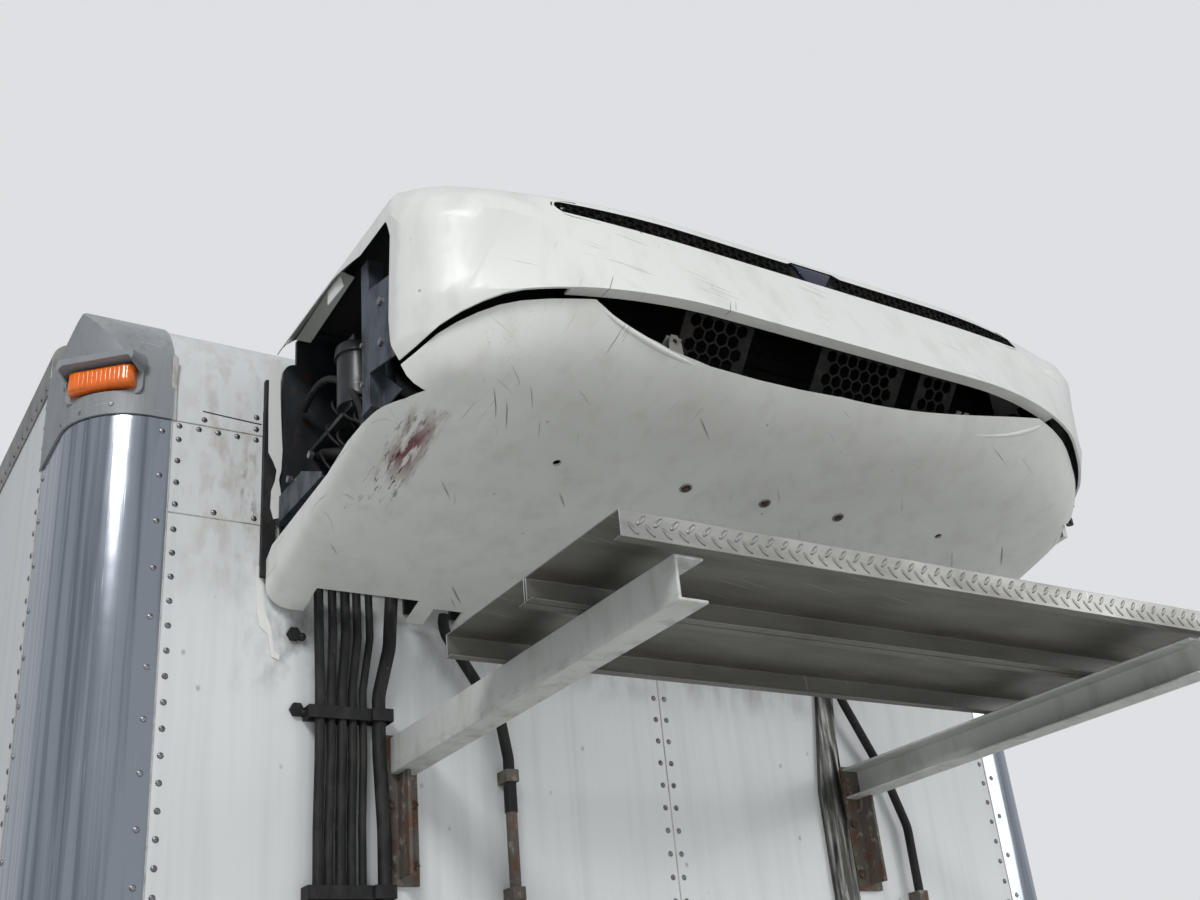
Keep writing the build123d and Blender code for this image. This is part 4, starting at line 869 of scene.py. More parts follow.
def tubes(paths: Sequence[Sequence[Point]], radius: float, closed: bool = False, around: int = 3,
          smooth: bool = True, taper: Sequence[float] = ()) -> bpy.types.Mesh:
    """Round tubes along paths.

    Args:
        paths: One list of points for each tube.
        radius: Tube radius.
        closed: Whether each path is a ring.
        around: Resolution round the tube.
        smooth: Whether the path is a smooth spline instead of straight runs.
        taper: Share of the radius at each point of a path, or nothing where it is even.

    Returns:
        The mesh.
    """
    data = bpy.data.curves.new("tubes", "CURVE")
    data.dimensions = "3D"
    data.bevel_depth, data.bevel_resolution, data.use_fill_caps = radius, around, True
    data.resolution_u = 8
    for path in paths:
        line = data.splines.new("NURBS" if smooth else "POLY")
        line.points.add(len(path) - 1)
        for point, place in zip(line.points, path):
            point.co = (*place, 1.0)
        for point, share in zip(line.points, taper):
            point.radius = share
        line.use_cyclic_u = closed
        if smooth:
            line.order_u = 3
            line.use_endpoint_u = not closed
    holder = placed("tubes", data)
    mesh = plain_mesh(holder)
    bpy.data.objects.remove(holder)
    for polygon in mesh.polygons:
        polygon.use_smooth = True
    return mesh


def prism(outline: Sequence[Point], depth: Point, bevel: float = 0.0) -> bpy.types.Mesh:
    """Solid of a flat outline pushed along a direction, with rounded edges.

    Args:
        outline: Corner points in order.
        depth: The push.
        bevel: Edge rounding.

    Returns:
        The mesh.
    """
    work = bmesh.new()
    face = work.faces.new([work.verts.new(point) for point in outline])
    pushed = bmesh.ops.extrude_face_region(work, geom=[face])
    moved = [item for item in pushed["geom"] if isinstance(item, bmesh.types.BMVert)]
    bmesh.ops.translate(work, verts=moved, vec=depth)
    bmesh.ops.recalc_face_normals(work, faces=work.faces)
    if bevel:
        bmesh.ops.bevel(work, geom=list(work.edges), offset=bevel, segments=2, affect="EDGES", profile=0.6)
    return baked(work)


def slab(low: Point, high: Point, bevel: float) -> bpy.types.Mesh:
    """Block between two corners with rounded edges.

    Args:
        low: Lowest corner.
        high: Highest corner.
        bevel: Edge rounding.

    Returns:
        The mesh.
    """
    outline = [(x, y, low[2]) for x, y in ((low[0], low[1]), (high[0], low[1]), (high[0], high[1]),
                                           (low[0], high[1]))]
    return prism(outline, (0, 0, high[2] - low[2]), bevel)


def circle(centre: Vector, first: Vector, second: Vector, radius: float, count: int) -> list[Point]:
    """Points round a circle.

    Args:
        centre: Its middle.
        first: Direction of the first point.
        second: Direction a quarter turn on.
        radius: Its radius.
        count: How many points.

    Returns:
        The points.
    """
    turns = [k * math.tau / count for k in range(count)]
    return [tuple(centre + (first * math.cos(turn) + second * math.sin(turn)) * radius) for turn in turns]


class Head(Enum):
    """Kinds of fastener heads."""
    DOME = "rivet"
    HEX = "hexagon bolt"
    PAN = "pan head screw"
    CELL = "hexagon cell wall"


def spots(start: Point, end: Point, count: int, facing: Point) -> list[tuple[Point, Point, Point]]:
    """Short rows for single heads at even steps between two points.

    Args:
        start: The first head.
        end: The last head.
        count: How many heads.
        facing: Where they face.

    Returns:
        Rows that carry one head each.
    """
    first, last = Vector(start), Vector(end)
    places = [first.lerp(last, i / max(count - 1, 1)) for i in range(count)]
    return [(tuple(place), tuple(place + Vector((0.0001, 0.0001, 0.0001))), facing) for place in places]


@dataclass
class Scatter:
    """Repeats a small head along rows with a Geometry Nodes tree.

    Attributes:
        radius: Head radius.
        height: How far the head stands out.
        pitch: Spacing along a row.
        head: The kind of head.
    """
    radius: float = 0.0066
    height: float = 0.0032
    pitch: float = 0.0508
    head: Head = Head.DOME

    def shape(self, tree: Any) -> Any:
        """Add the nodes of one head of unit size.

        Args:
            tree: The node tree.

        Returns:
            The head's socket.
        """
        if self.head is Head.CELL:
            ring = add_node(tree, "GeometryNodeMeshCircle", {"Vertices": 6, "Radius": 1.0}).outputs[0]
            path = add_node(tree, "GeometryNodeMeshToCurve", links={"Mesh": ring}).outputs[0]
            wall = add_node(tree, "GeometryNodeCurvePrimitiveQuadrilateral", {"Width": 0.17, "Height": 1.0})
            return add_node(tree, "GeometryNodeCurveToMesh", links={
                "Curve": path, "Profile Curve": wall.outputs[0]}).outputs[0]
        kind, settings = {
            Head.DOME: ("UVSphere", {"Segments": 8, "Rings": 6, "Radius": 1.0}),
            Head.HEX: ("Cylinder", {"Vertices": 6, "Radius": 1.0, "Depth": 2.0}),
            Head.PAN: ("Cone", {"Vertices": 14, "Radius Top": 0.72, "Radius Bottom": 1.0, "Depth": 1.0}),
        }[self.head]
        return add_node(tree, "GeometryNodeMesh" + kind, settings).outputs[0]

    def tree(self) -> Any:
        """Build the tree that puts heads at even steps along every row.

        Returns:
            The node tree.
        """
        name = f"rows of {self.head.value}"
        if name in bpy.data.node_groups:
            return bpy.data.node_groups[name]
        tree, start = new_tree(name, {"Geometry": ("Rows",), "Float": ("Radius", "Height", "Pitch"),
                                      "Material": ("Material",)}, "Heads")
        rows = add_node(tree, "GeometryNodeMeshToCurve", links={"Mesh": start["Rows"]}).outputs[0]
        points = add_node(tree, "GeometryNodeResampleCurve", {"mode": "LENGTH"},
                          {"Curve": rows, "Length": start["Pitch"]}).outputs[0]
        facing = add_node(tree, "GeometryNodeInputNamedAttribute", {"data_type": "FLOAT_VECTOR",
                                                                    "Name": "facing"}).outputs[0]
        turn = add_node(tree, "FunctionNodeAlignRotationToVector", {"axis": "Z"},
                        {"Vector": facing}).outputs[0]
        size = add_node(tree, "ShaderNodeCombineXYZ", links={0: start["Radius"], 1: start["Radius"],
                                                             2: start["Height"]}).outputs[0]
        heads = add_node(tree, "GeometryNodeInstanceOnPoints", links={
            "Points": points, "Instance": self.shape(tree), "Rotation": turn, "Scale": size}).outputs[0]
        end_tree(tree, heads, start["Material"])
        return tree

    def mesh(self, rows: Sequence[Row], finish: Finish) -> bpy.types.Mesh:
        """Heads along straight rows.

        Args:
            rows: The rows.
            finish: Material of the heads.

        Returns:
            The plain mesh.
        """
        lines = bpy.data.meshes.new("rows")
        lines.from_pydata([end for row in rows for end in row[:2]],
                          [(2 * i, 2 * i + 1) for i in range(len(rows))], [])
        facing = lines.attributes.new("facing", "FLOAT_VECTOR", "POINT")
        facing.data.foreach_set("vector", [value for row in rows for _ in range(2) for value in row[2]])
        made = grown(lines, self.tree(), {"Radius": self.radius, "Height": self.height, "Pitch": self.pitch,
                                          "Material": finish.build()})
        for polygon in made.polygons:
            polygon.use_smooth = self.head is Head.DOME
        return made


@dataclass
class Tread:
    """Diamond tread: raised lugs at right angles to each other, by a Geometry Nodes tree.

    Attributes:
        pitch: Distance between lugs of one direction.
        length: Lug length.
        width: Lug width.
        height: Lug height.
    """
    pitch: float = 0.030
    length: float = 0.025
    width: float = 0.0078
    height: float = 0.0016

    def tree(self) -> Any:
        """Build the tree of two staggered lug grids.

        Returns:
            The node tree.
        """
        name = "diamond tread"
        if name in bpy.data.node_groups:
            return bpy.data.node_groups[name]
        tree, start = new_tree(name, {
            "Geometry": ("Nothing",), "Material": ("Material",),
            "Float": ("Size X", "Size Y", "Pitch", "Length", "Width", "Height")}, "Lugs")
        pitch = start["Pitch"]
        counts = [calc(tree, "FLOOR", calc(tree, "DIVIDE", start[label], pitch))
                  for label in ("Size X", "Size Y")]
        half = [calc(tree, "MULTIPLY", start[label], 0.5) for label in ("Length", "Width")]
        size = add_node(tree, "ShaderNodeCombineXYZ", links={0: half[0], 1: half[1], 2: start["Height"]})
        lug = add_node(tree, "GeometryNodeMeshUVSphere", {"Segments": 10, "Rings": 4, "Radius": 1.0})
        wide = [calc(tree, "MULTIPLY", count, pitch) for count in counts]
        grid = add_node(tree, "GeometryNodeMeshGrid", links=dict(zip(
            ("Size X", "Size Y", "Vertices X", "Vertices Y"), wide + counts))).outputs[0]
        shrink = [calc(tree, "DIVIDE", calc(tree, "SUBTRACT", count, 1.0), count) for count in counts]
        fit = add_node(tree, "ShaderNodeCombineXYZ", {2: 1.0}, {0: shrink[0], 1: shrink[1]}).outputs[0]
        both = add_node(tree, "GeometryNodeJoinGeometry")
        for share, angle in ((0.25, math.pi / 4), (-0.25, -math.pi / 4)):
            step = calc(tree, "MULTIPLY", pitch, share)
            offset = add_node(tree, "ShaderNodeCombineXYZ", links={0: step, 1: step}).outputs[0]
            moved = add_node(tree, "GeometryNodeTransform", links={
                0: grid, "Translation": offset, "Scale": fit})
            part = add_node(tree, "GeometryNodeInstanceOnPoints", {"Rotation": (0, 0, angle)}, {
                "Points": moved.outputs[0], "Instance": lug.outputs[0], "Scale": size.outputs[0]})
            tree.links.new(part.outputs[0], both.inputs[0])
        end_tree(tree, both.outputs[0], start["Material"])
        return tree

    def mesh(self, size: tuple[float, float], place: Matrix, finish: Finish) -> bpy.types.Mesh:
        """Lugs over a rectangle.

        Args:
            size: The rectangle's sides.
            place: Where its middle and +Z go.
            finish: Material of the lugs.

        Returns:
            The plain mesh.
        """
        made = grown(bpy.data.meshes.new("nothing"), self.tree(), {
            "Size X": size[0], "Size Y": size[1], "Pitch": self.pitch, "Length": self.length,
            "Width": self.width, "Height": self.height, "Material": finish.build()})
        made.transform(place)
        for polygon in made.polygons:
            polygon.use_smooth = True
        return made


@dataclass
class Studio:
    """Camera at the photograph's viewing angle, pale floor and soft light."""
    camera_place: Point = (-1.7785, -2.5348, 0.8232)
    right: Point = (0.84609601, -0.52559615, -0.08871432)
    upward: Point = (-0.17105347, -0.4253628, 0.88871098)
    ahead: Point = (0.50483884, 0.73675992, 0.44980281)
    lens: float = 40.61
    floor_size: float = 14.0
    floor_level: float = -0.002

    def build(self) -> None:
        """Make the camera, the floor, the lamps and the world."""
        scene = bpy.context.scene
        scene.view_settings.view_transform = "Standard"
        data = bpy.data.cameras.new("camera")
        data.lens, data.sensor_width, data.clip_start, data.clip_end = self.lens, 36.0, 0.02, 100.0
        camera = placed("camera", data)
        axes = Matrix((self.right, self.upward, -Vector(self.ahead))).transposed().to_4x4()
        camera.matrix_world = Matrix.Translation(self.camera_place) @ axes
        scene.camera = camera
        self.floor()
        self.lamps()
        self.world()

    def floor(self) -> None:
        """Make the pale floor."""
        half = self.floor_size / 2
        ends = ((-half, -half), (half, -half), (half, half), (-half, half))
        mesh = bpy.data.meshes.new("floor")
        mesh.from_pydata([(x, y, self.floor_level) for x, y in ends], [], [(0, 1, 2, 3)])
        mesh.materials.append(Finish("pale floor", "", "DCDCDA", 0.8, tint="D6D6D3", patch=900,
                                     grain=(4, 0.05), shine=0.1).build())
        placed("floor", mesh)

    def lamps(self) -> None:
        """Make a large soft key lamp from the upper left, a fill, a low bounce and a rear lamp."""
        table = (  # name, place, target, size, watts
            ("key", (-4.6, -5.2, 6.4), (0.0, -0.2, 1.9), 2.6, 360.0),
            ("fill", (4.5, -4.5, 3.2), (0.0, -0.2, 1.7), 4.0, 90.0),
            ("bounce", (-0.6, -3.4, 0.25), (0.0, -0.3, 2.0), 2.6, 26.0),
            ("rear", (0.5, 5.5, 4.0), (0.0, 0.6, 1.2), 3.5, 150.0),
        )
        for name, place, target, size, watts in table:
            data = bpy.data.lights.new(name, "AREA")
            data.shape, data.size, data.energy = "DISK", size, watts
            aim = (Vector(target) - Vector(place)).to_track_quat("-Z", "Y")
            placed(name, data).matrix_world = Matrix.Translation(place) @ aim.to_matrix().to_4x4()

    def world(self) -> None:
        """Make a soft sky for light and a pale one for what the camera and reflections see."""
        world = bpy.data.worlds.new("studio")
        bpy.context.scene.world = world
        world.use_nodes = True
        tree = world.node_tree
        tree.nodes.clear()
        rays = add_node(tree, "ShaderNodeLightPath").outputs
        mirrored = calc(tree, "MAXIMUM", rays["Is Glossy Ray"], rays["Is Transmission Ray"])
        soft, shown, pale = (
            add_node(tree, "ShaderNodeBackground", {"Color": linear(code), "Strength": strength}).outputs[0]
            for code, strength in (("E6EAF0", 0.40), ("DDE2EA", 0.62), ("E3E5E8", 0.95)))
        glossy = add_node(tree, "ShaderNodeMixShader", links={0: mirrored, 1: soft, 2: shown}).outputs[0]
        mixed = add_node(tree, "ShaderNodeMixShader", links={0: rays["Is Camera Ray"], 1: glossy, 2: pale})
        add_node(tree, "ShaderNodeOutputWorld", links={0: mixed.outputs[0]})


@dataclass
class Body:
    """Insulated body: riveted skins, corner posts, caps with lamps, roof, sill and load space."""
    kit: Kit
    rivet_inset: float = 0.015
    post_rear: float = 0.33
    sill_top: float = 0.12
    roof_top: float = 2.565
    panel_joint: float = 0.055                             # joint of the front panels, off the middle
    unit_foot: float = 1.83                                # where the unit covers that joint
    lamp_size: tuple[float, float, float] = (0.149, 0.051, 0.033)
    lamp_turn: float = 42.0                                # how far round the corner a lamp looks, in degrees
    liner_near: float = 1.1155                             # corner liners, from here to liner_far across
    liner_far: float = 1.2135
    liner_rear: float = 0.3297
    liner_arc: float = 0.262
    liner_face: float = 0.09                               # inner face of the front wall
    floor_half: float = 1.17
    ribs: int = 41

    def dress(self) -> None:
        """Dress every part of the body."""
        self.rivets()
        self.seams()
        self.caps()
        for _, name in SIDES:
            self.kit.dressed(f"corner_post_{name}", 0.0012)
            self.kit.dressed(f"roof_rail_{name}", 0.0015)
        self.kit.dressed("front_sill", 0.002)
        self.load_space()

    def rivets(self) -> None:
        """Rivet rows along the skins' joints, the posts, the sides and the roof."""
        foot, rear, rows = self.sill_top + 0.02, self.post_rear, []
        for side, _ in SIDES:
            x, near = side * (JOINT_X - self.rivet_inset), side * (UNIT_HALF + 0.02)
            rows.append(((x, 0, LOWER_SEAM - 0.037), (x, 0, foot), FRONT))
            for x1, z1, x2, z2, count in (
                    (x, SEAM - 0.043, x, SEAM - 0.192, 4),
                    (x, SEAM - 0.011, near, SEAM - 0.012, 5),
                    (side * 1.02, LOWER_SEAM + 0.013, near, LOWER_SEAM + 0.013, 2),
                    (side * 1.048, SEAM + 0.014, near, SEAM + 0.014, 2),
                    (near, SEAM + 0.043, near, SEAM + 0.043, 1)):
                rows += spots((x1, 0, z1), (x2, 0, z2), count, FRONT)
        for x in (self.panel_joint - self.rivet_inset, self.panel_joint + self.rivet_inset):
            rows.append(((x, 0, foot), (x, 0, self.unit_foot), FRONT))
        x, z = JOINT_X - 0.04, self.sill_top + 0.012
        rows.append(((-x, 0, z), (x, 0, z), FRONT))
        for side, _ in SIDES:
            out = (side, 0, 0)
            for x, y1, z1, y2, z2, facing in (
                    (BODY_HALF, BODY_DEPTH - 0.015, 0.02, BODY_DEPTH - 0.015, 2.4, out),
                    (BODY_HALF, rear + 0.018, 0.02, rear + 0.018, 2.4, out),
                    (BODY_HALF, rear + 0.06, 0.03, BODY_DEPTH - 0.04, 0.03, out),
                    (BODY_HALF + 0.0033, rear + 0.03, 2.455, BODY_DEPTH - 0.03, 2.455, out),
                    (BODY_HALF - 0.11, rear + 0.03, 2.5683, BODY_DEPTH - 0.03, 2.5683, UP)):
                rows.append(((side * x, y1, z1), (side * x, y2, z2), facing))
        x, z = JOINT_X - 0.02, self.roof_top
        rows += [((-x, y, z), (x, y, z), UP) for y in (rear - 0.015, rear + 0.02)]
        self.kit.heads("skin_rivets", rows, RIVET, Scatter())
        rows = [((side * x, y, 0.06), (side * x, y, SEAM - 0.03), facing) for side, _ in SIDES
                for x, y, facing in ((JOINT_X + 0.02, 0, FRONT), (BODY_HALF, rear - 0.018, (side, 0, 0)))]
        self.kit.heads("post_rivets", rows, ZINC, Scatter(pitch=0.1016))

    def seams(self) -> None:
        """Sealant beads on the joints of the skins."""
        lines = []
        for side, _ in SIDES:
            x = side * JOINT_X
            lines.append([(x, HAIR, self.sill_top), (x + 0.0003, 0.0, 1.2), (x, HAIR, SEAM)])
            lines.append([(side * BODY_HALF, self.post_rear, z) for z in (0.01, 1.3, 2.45)])
        x = self.panel_joint
        lines.append([(x, HAIR, self.sill_top), (x, 0.0, 1.0), (x, HAIR, self.unit_foot)])
        for side, _ in SIDES:
            for z, bow in ((LOWER_SEAM, 0.0003), (SEAM, -0.0004)):
                lines.append([(side * UNIT_HALF, 0.0, z), (side, bow, z), (side * JOINT_X, 0.0, z)])
        self.kit.piece("seam_sealant", tubes(lines, 0.0017), SEALANT)
        laps = [[(side * x, -0.0004, SEAM + rise) for x, rise in (
            (1.052, 0.034), (0.98, 0.030), (0.924, 0.028))] for side, _ in SIDES]
        self.kit.piece("lap_joints", tubes(laps, 0.0012), RUBBER)

    def caps(self) -> None:
        """Corner caps with rounded edges, ribbed lamps, putty strips and screws."""
        middle_x, middle_y, away = 1.155, 0.15, 0.4  # the corner's middle, and how far off the rays start
        for side, name in SIDES:
            self.kit.dressed(f"corner_cap_{name}", 0.006, segments=3)
            self.lamp(side, name)
            x = side * (JOINT_X - 0.004)
            outline = [(x + side * across, 0, SEAM + rise) for across, rise in (
                (-0.003, -0.002), (0.010, 0), (0.011, 0.16), (-0.001, 0.15))]
            self.kit.piece(f"putty_strip_{name}", prism(outline, (0, -0.0048, 0), 0.0015), SEALANT)
            rows = []
            for angle, height in ((32, 0.022), (58, 0.014), (84, 0.014), (84, 0.1)):
                turn = math.radians(angle)
                out = (-side * math.sin(turn), math.cos(turn), 0)
                start = (side * middle_x - away * out[0], middle_y - away * out[1], SEAM + height)
                place, normal = self.kit.hit(f"corner_cap_{name}", start, out)
                rows.append((tuple(place), tuple(place + Vector((0, 0, 0.0002))), tuple(normal)))
            self.kit.heads(f"cap_screws_{name}", rows, ZINC, Scatter(0.0058, 0.0018, 0.075, Head.PAN))

    def lamp(self, side: int, name: str) -> None:
        """Marker lamp with a crowned, ribbed lens.

        Args:
            side: -1 on the left, 1 on the right.
            name: left or right.
        """
        low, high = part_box(f"marker_lamp_{name}")
        turn = math.radians(self.lamp_turn)
        normal = Vector((side * math.sin(turn), -math.cos(turn), 0))
        across = Vector((math.cos(turn), side * math.sin(turn), 0))
        centre, (span, tall, deep) = (low + high) / 2, self.lamp_size
        columns, rings, ribs, rib_depth = 60, 14, 15, 0.0014
        grid = []
        for i in range(columns + 1):
            row = []
            for j in range(rings + 1):
                s, t = 2 * i / columns - 1, 2 * j / rings - 1
                crown = (1 - abs(s) ** 12) ** 0.45 * (1 - abs(t) ** 9) ** 0.45
                rib = rib_depth * (0.5 - 0.5 * math.cos(i / columns * math.tau * ribs)) * (abs(t) < 0.8)
                row.append(centre + across * (s * span / 2) + Vector((0, 0, t * tall / 2)) + normal * (
                    (crown - 0.5) * deep - rib * crown))
            grid.append(row)
        self.kit.piece(f"lamp_lens_{name}", woven(grid, True), AMBER, replaces=(f"marker_lamp_{name}",))

    def load_space(self) -> None:
        """Panels that close the front corners over the liner, floor ribs and liner rivets."""
        rear, foot = self.liner_rear, SEAM + HAIR
        for side, name in SIDES:
            x = side * self.liner_near
            inner, outer = sorted((x, side * self.liner_far))
            arc = [(x, rear - self.liner_arc * math.sin(k * math.pi / 24),
                    foot + self.liner_arc * math.cos(k * math.pi / 24)) for k in range(13)]
            panels = (slab((inner, 0.3245, foot), (outer, rear, 2.4745), HAIR),
                      slab((inner, 0.087, foot), (outer, rear, SEAM + 0.0035), HAIR),
                      prism([(x, rear, foot), *arc], (side * 0.003, 0, 0), HAIR))
            self.kit.piece(f"corner_liner_{name}", joined(panels), LINER)
        steps = [-self.floor_half + 2 * self.floor_half * i / (self.ribs - 1) for i in range(self.ribs)]
        ribs = [slab((x - 0.010, 0.14, 0.1195), (x + 0.010, BODY_DEPTH, 0.1262), 0.0015) for x in steps]
        self.kit.piece("floor_ribs", joined(ribs), MILL)
        y = self.liner_face
        rows = [((x, y, 0.16), (x, y, 2.2), REAR) for x in (-1.1, -0.75, 0.75, 1.1)]
        rows.append(((-1.19, y, 0.2), (1.19, y, 0.2), REAR))
        rows += [((side * 1.215, y, 0.16), (side * 1.215, y, 2.4), (-side, 0, 0)) for side, _ in SIDES
                 for y in (0.4, 0.75, 1.1)]
        self.kit.heads("liner_rivets", rows, LINER, Scatter(0.006, 0.002, 0.12))


@dataclass
class Unit:
    """Nose-mounted cooling unit: shells, grilles, door and what the open bay shows."""
    kit: Kit
    belly_front: tuple[float, float] = (-0.75, 2.055)
    belly_rear: tuple[float, float] = (-0.02, 1.84)
    slot: tuple[float, float] = (2.385, 2.420)
    slot_half: float = 0.634
    slot_tall: float = 0.0275                              # along the leaning band
    plate_half: float = 0.06                               # half of the plate in the slot's middle
    cell: float = 0.0118                                   # radius of a honeycomb cell
    shell_bevel: float = 0.0022
    shell_crease: float = 26.0
    rim_cut: tuple[float, float, float] = (-0.95, -0.69, 2.3)  # front, rear and top of what the rim loses
    rim: tuple[tuple[float, float], ...] = (
        (-0.604, 2.190), (-0.585, 2.172), (-0.55, 2.152), (-0.5025, 2.134), (-0.4146, 2.1165),
        (-0.3235, 2.1080), (-0.2095, 2.1060), (-0.10, 2.1070), (0.0, 2.1105))

    def dress(self) -> None:
        """Dress every part of the unit."""
        self.kit.dressed("upper_shell", self.shell_bevel, angle=self.shell_crease, segments=3)
        near, far, top = self.rim_cut
        edge = [(x, near, z) for x, z in (*self.rim, (self.rim[-1][0], top), (self.rim[0][0], top))]
        self.kit.dressed("lower_shell", self.shell_bevel, angle=self.shell_crease, segments=3,
                         cutter=prism(edge, (0, far - near, 0)))
        self.rim_lips()
        self.slot_mesh()
        self.baffles()
        self.kit.dressed("service_door", 0.003, body="service_door", segments=3)
        for node, size in (("grille_centre_piece", 0.002), ("bay_post_left", 0.0015), ("bay_bracket", 0.001),
                           ("filter_canister", 0.003), ("compressor", 0.003), ("engine_block", 0.004),
                           ("side_tray", 0.001), ("shell_tabs", 0.0008)):
            self.kit.dressed(node, size)
        self.fasteners()
        self.bay()
        self.bay_edge()
        self.door_fittings()

    def belly(self, x: float, y: float, lift: float = 0.0) -> Point:
        """A point on the flat sloping underside.

        Args:
            x: Across.
            y: Depth.
            lift: Distance off the surface, downwards.

        Returns:
            The point.
        """
        (y1, z1), (y2, z2) = self.belly_front, self.belly_rear
        slope = (z2 - z1) / (y2 - y1)
        length = math.hypot(1, slope)
        return x, y + lift * slope / length, z1 + (y - y1) * slope - lift / length

    def rim_lips(self) -> None:
        """Bright rolled lips on the lower shell at both ends of the air opening."""
        table = (  # piece, points (x, z, share of the radius)
            ("rim_lip_left", (
                (-0.598, 2.180, 0.1), (-0.57, 2.158, 0.6), (-0.53, 2.139, 0.9), (-0.47, 2.121, 1.0),
                (-0.41, 2.110, 0.9), (-0.36, 2.105, 0.5), (-0.32, 2.102, 0.05))),
            ("rim_lip_right", (
                (0.31, 2.100, 0.05), (0.38, 2.103, 0.45), (0.46, 2.113, 0.7), (0.52, 2.127, 0.9),
                (0.57, 2.146, 1.0), (0.60, 2.160, 1.0), (0.612, 2.168, 0.3))),
        )
        for name, points in table:
            path = []
            for x, z, _ in points:
                place, normal = self.front_below(x, z)
                path.append(tuple(place - normal * 0.003))
            shares = [share for _, _, share in points]
            self.kit.piece(name, tubes([path], 0.0075, around=6, taper=shares), GELCOAT)

    def front_below(self, x: float, z: float) -> tuple[Vector, Vector]:
        """Find the lower shell's front at a height, or just below where the opening is higher.

        Args:
            x: Across.
            z: Height.

        Returns:
            The place and the surface's normal.
        """
        for drop in range(12):
            try:
                return self.kit.hit("lower_shell", (x, -2, z - 0.003 * drop), REAR)
            except ValueError:
                continue
        raise ValueError(f"no front below {x}, {z}")

    def slot_point(self, x: float, share: float, inset: float) -> tuple[Vector, Vector]:
        """A point of the surface that spans the upper slot.

        Args:
            x: Across.
            share: From -1 at the slot's lower edge to 1 at its upper edge.
            inset: Depth under the shell's outer surface.

        Returns:
            The point and the surface's normal.
        """
        clear = x if abs(x) > 0.09 else math.copysign(0.09, x)
        low = self.kit.hit("upper_shell", (clear, -2, self.slot[0] - 0.003), REAR)[0]
        high = self.kit.hit("upper_shell", (clear, -2, self.slot[1] + 0.003), REAR)[0]
        rise = high - low
        normal = Vector((0, -rise.z, rise.y)).normalized()
        middle = (low + high) / 2
        middle.x = x
        return middle + rise * share / 2 - normal * inset, normal

    def baffles(self) -> None:
        """Rubber baffle behind the door's front gap and upright tabs behind the air opening."""
        strips = (slab((0.887, -0.640, 2.09), (0.9085, -0.607, 2.40), 0.001),
                  slab((0.887, -0.6405, 2.0905), (0.8935, -0.565, 2.3995), 0.001))
        self.kit.piece("door_gap_baffle", joined(strips), RUBBER)
        tabs = ((-0.394, -0.8, 2.118, 2.166), (-0.52, -0.784, 2.135, 2.178))  # x, y, low, high
        for index, (x, y, low, high) in enumerate(tabs):
            outline = [(x + across, y, z) for across, z in (
                (-0.017, low), (0.017, low), (0.015, high - 0.016), (0.007, high), (-0.007, high),
                (-0.015, high - 0.016))]
            self.kit.piece(f"tab_{index}", prism(outline, (0, -0.002, 0), 0.0006), TAB)
            place = (x, y - 0.002, high - 0.014)
            self.kit.heads(f"tab_screw_{index}", spots(place, place, 1, FRONT), RUBBER,
                           Scatter(0.005, 0.0008, head=Head.PAN))

    def slot_mesh(self) -> None:
        """Honeycomb and its dark backing in the upper slot, a screw and a raised bead round both ends."""
        cell, rows = self.cell, []
        column, x = 0, -self.slot_half + cell
        while x < self.slot_half - cell / 2:
            for k in (-1.0, 0.0, 1.0):
                share = (k + 0.5 * (column % 2)) * math.sqrt(3) * cell / self.slot_tall
                if abs(share) < 1.02 and abs(x) > self.plate_half:
                    place, normal = self.slot_point(x, share, 0.005)
                    rows.append((tuple(place), tuple(place + Vector((0.0002, 0, 0))), tuple(normal)))
            x, column = x + 1.5 * cell, column + 1
        self.kit.heads("slot_honeycomb", rows, GRILLE, Scatter(cell, 0.0045, 0.02, Head.CELL))
        strips = [[self.slot_point(self.slot_half * (2 * index / 64 - 1), share, 0.0085)[0]
                   for share in (-1.1, 0.0, 1.1)] for index in range(65)]
        self.kit.piece("slot_backing", woven(strips), GRILLE)
        place, normal = self.slot_point(-0.612, 0.1, 0.004)
        self.kit.heads("slot_screw", spots(tuple(place), tuple(place), 1, tuple(normal)), ZINC,
                       Scatter(0.005, 0.002, head=Head.PAN))
        tip, edge = self.slot_half + 0.004, 1.25  # just past the slot's end and its two edges
        outlines = (
            ((-0.58, edge), (-0.62, edge), (-tip, 0.0), (-0.62, -edge), (-0.58, -edge), (-0.54, -edge)),
            ((0.54, -edge), (0.58, -edge), (0.62, -edge), (tip, 0.0), (0.62, edge), (0.58, edge)))
        ends = [[tuple(self.slot_point(x, share, 0.0008)[0]) for x, share in outline] for outline in outlines]
        self.kit.piece("slot_bead", tubes(ends, 0.0022), GELCOAT)

    def fasteners(self) -> None:
        """Ringed bolts in the three middle holes of the underside."""
        down = Vector(self.belly(0, -0.5, 1.0)) - Vector(self.belly(0, -0.5))
        side = Vector((1, 0, 0))
        along = down.cross(side).normalized()
        for index, x in enumerate((-0.207, 0.0, 0.207)):
            centre = Vector(self.belly(x, -0.539, HAIR))
            ring = circle(centre, side, along, 0.0115, 12)
            self.kit.piece(f"belly_washer_{index}", tubes([ring], 0.0026, True), ZINC)
            hexagon = circle(centre - down * 0.003, side, along, 0.008, 6)
            self.kit.piece(f"belly_bolt_{index}", prism(hexagon, tuple(down * 0.0075), 0.0008), RUST)

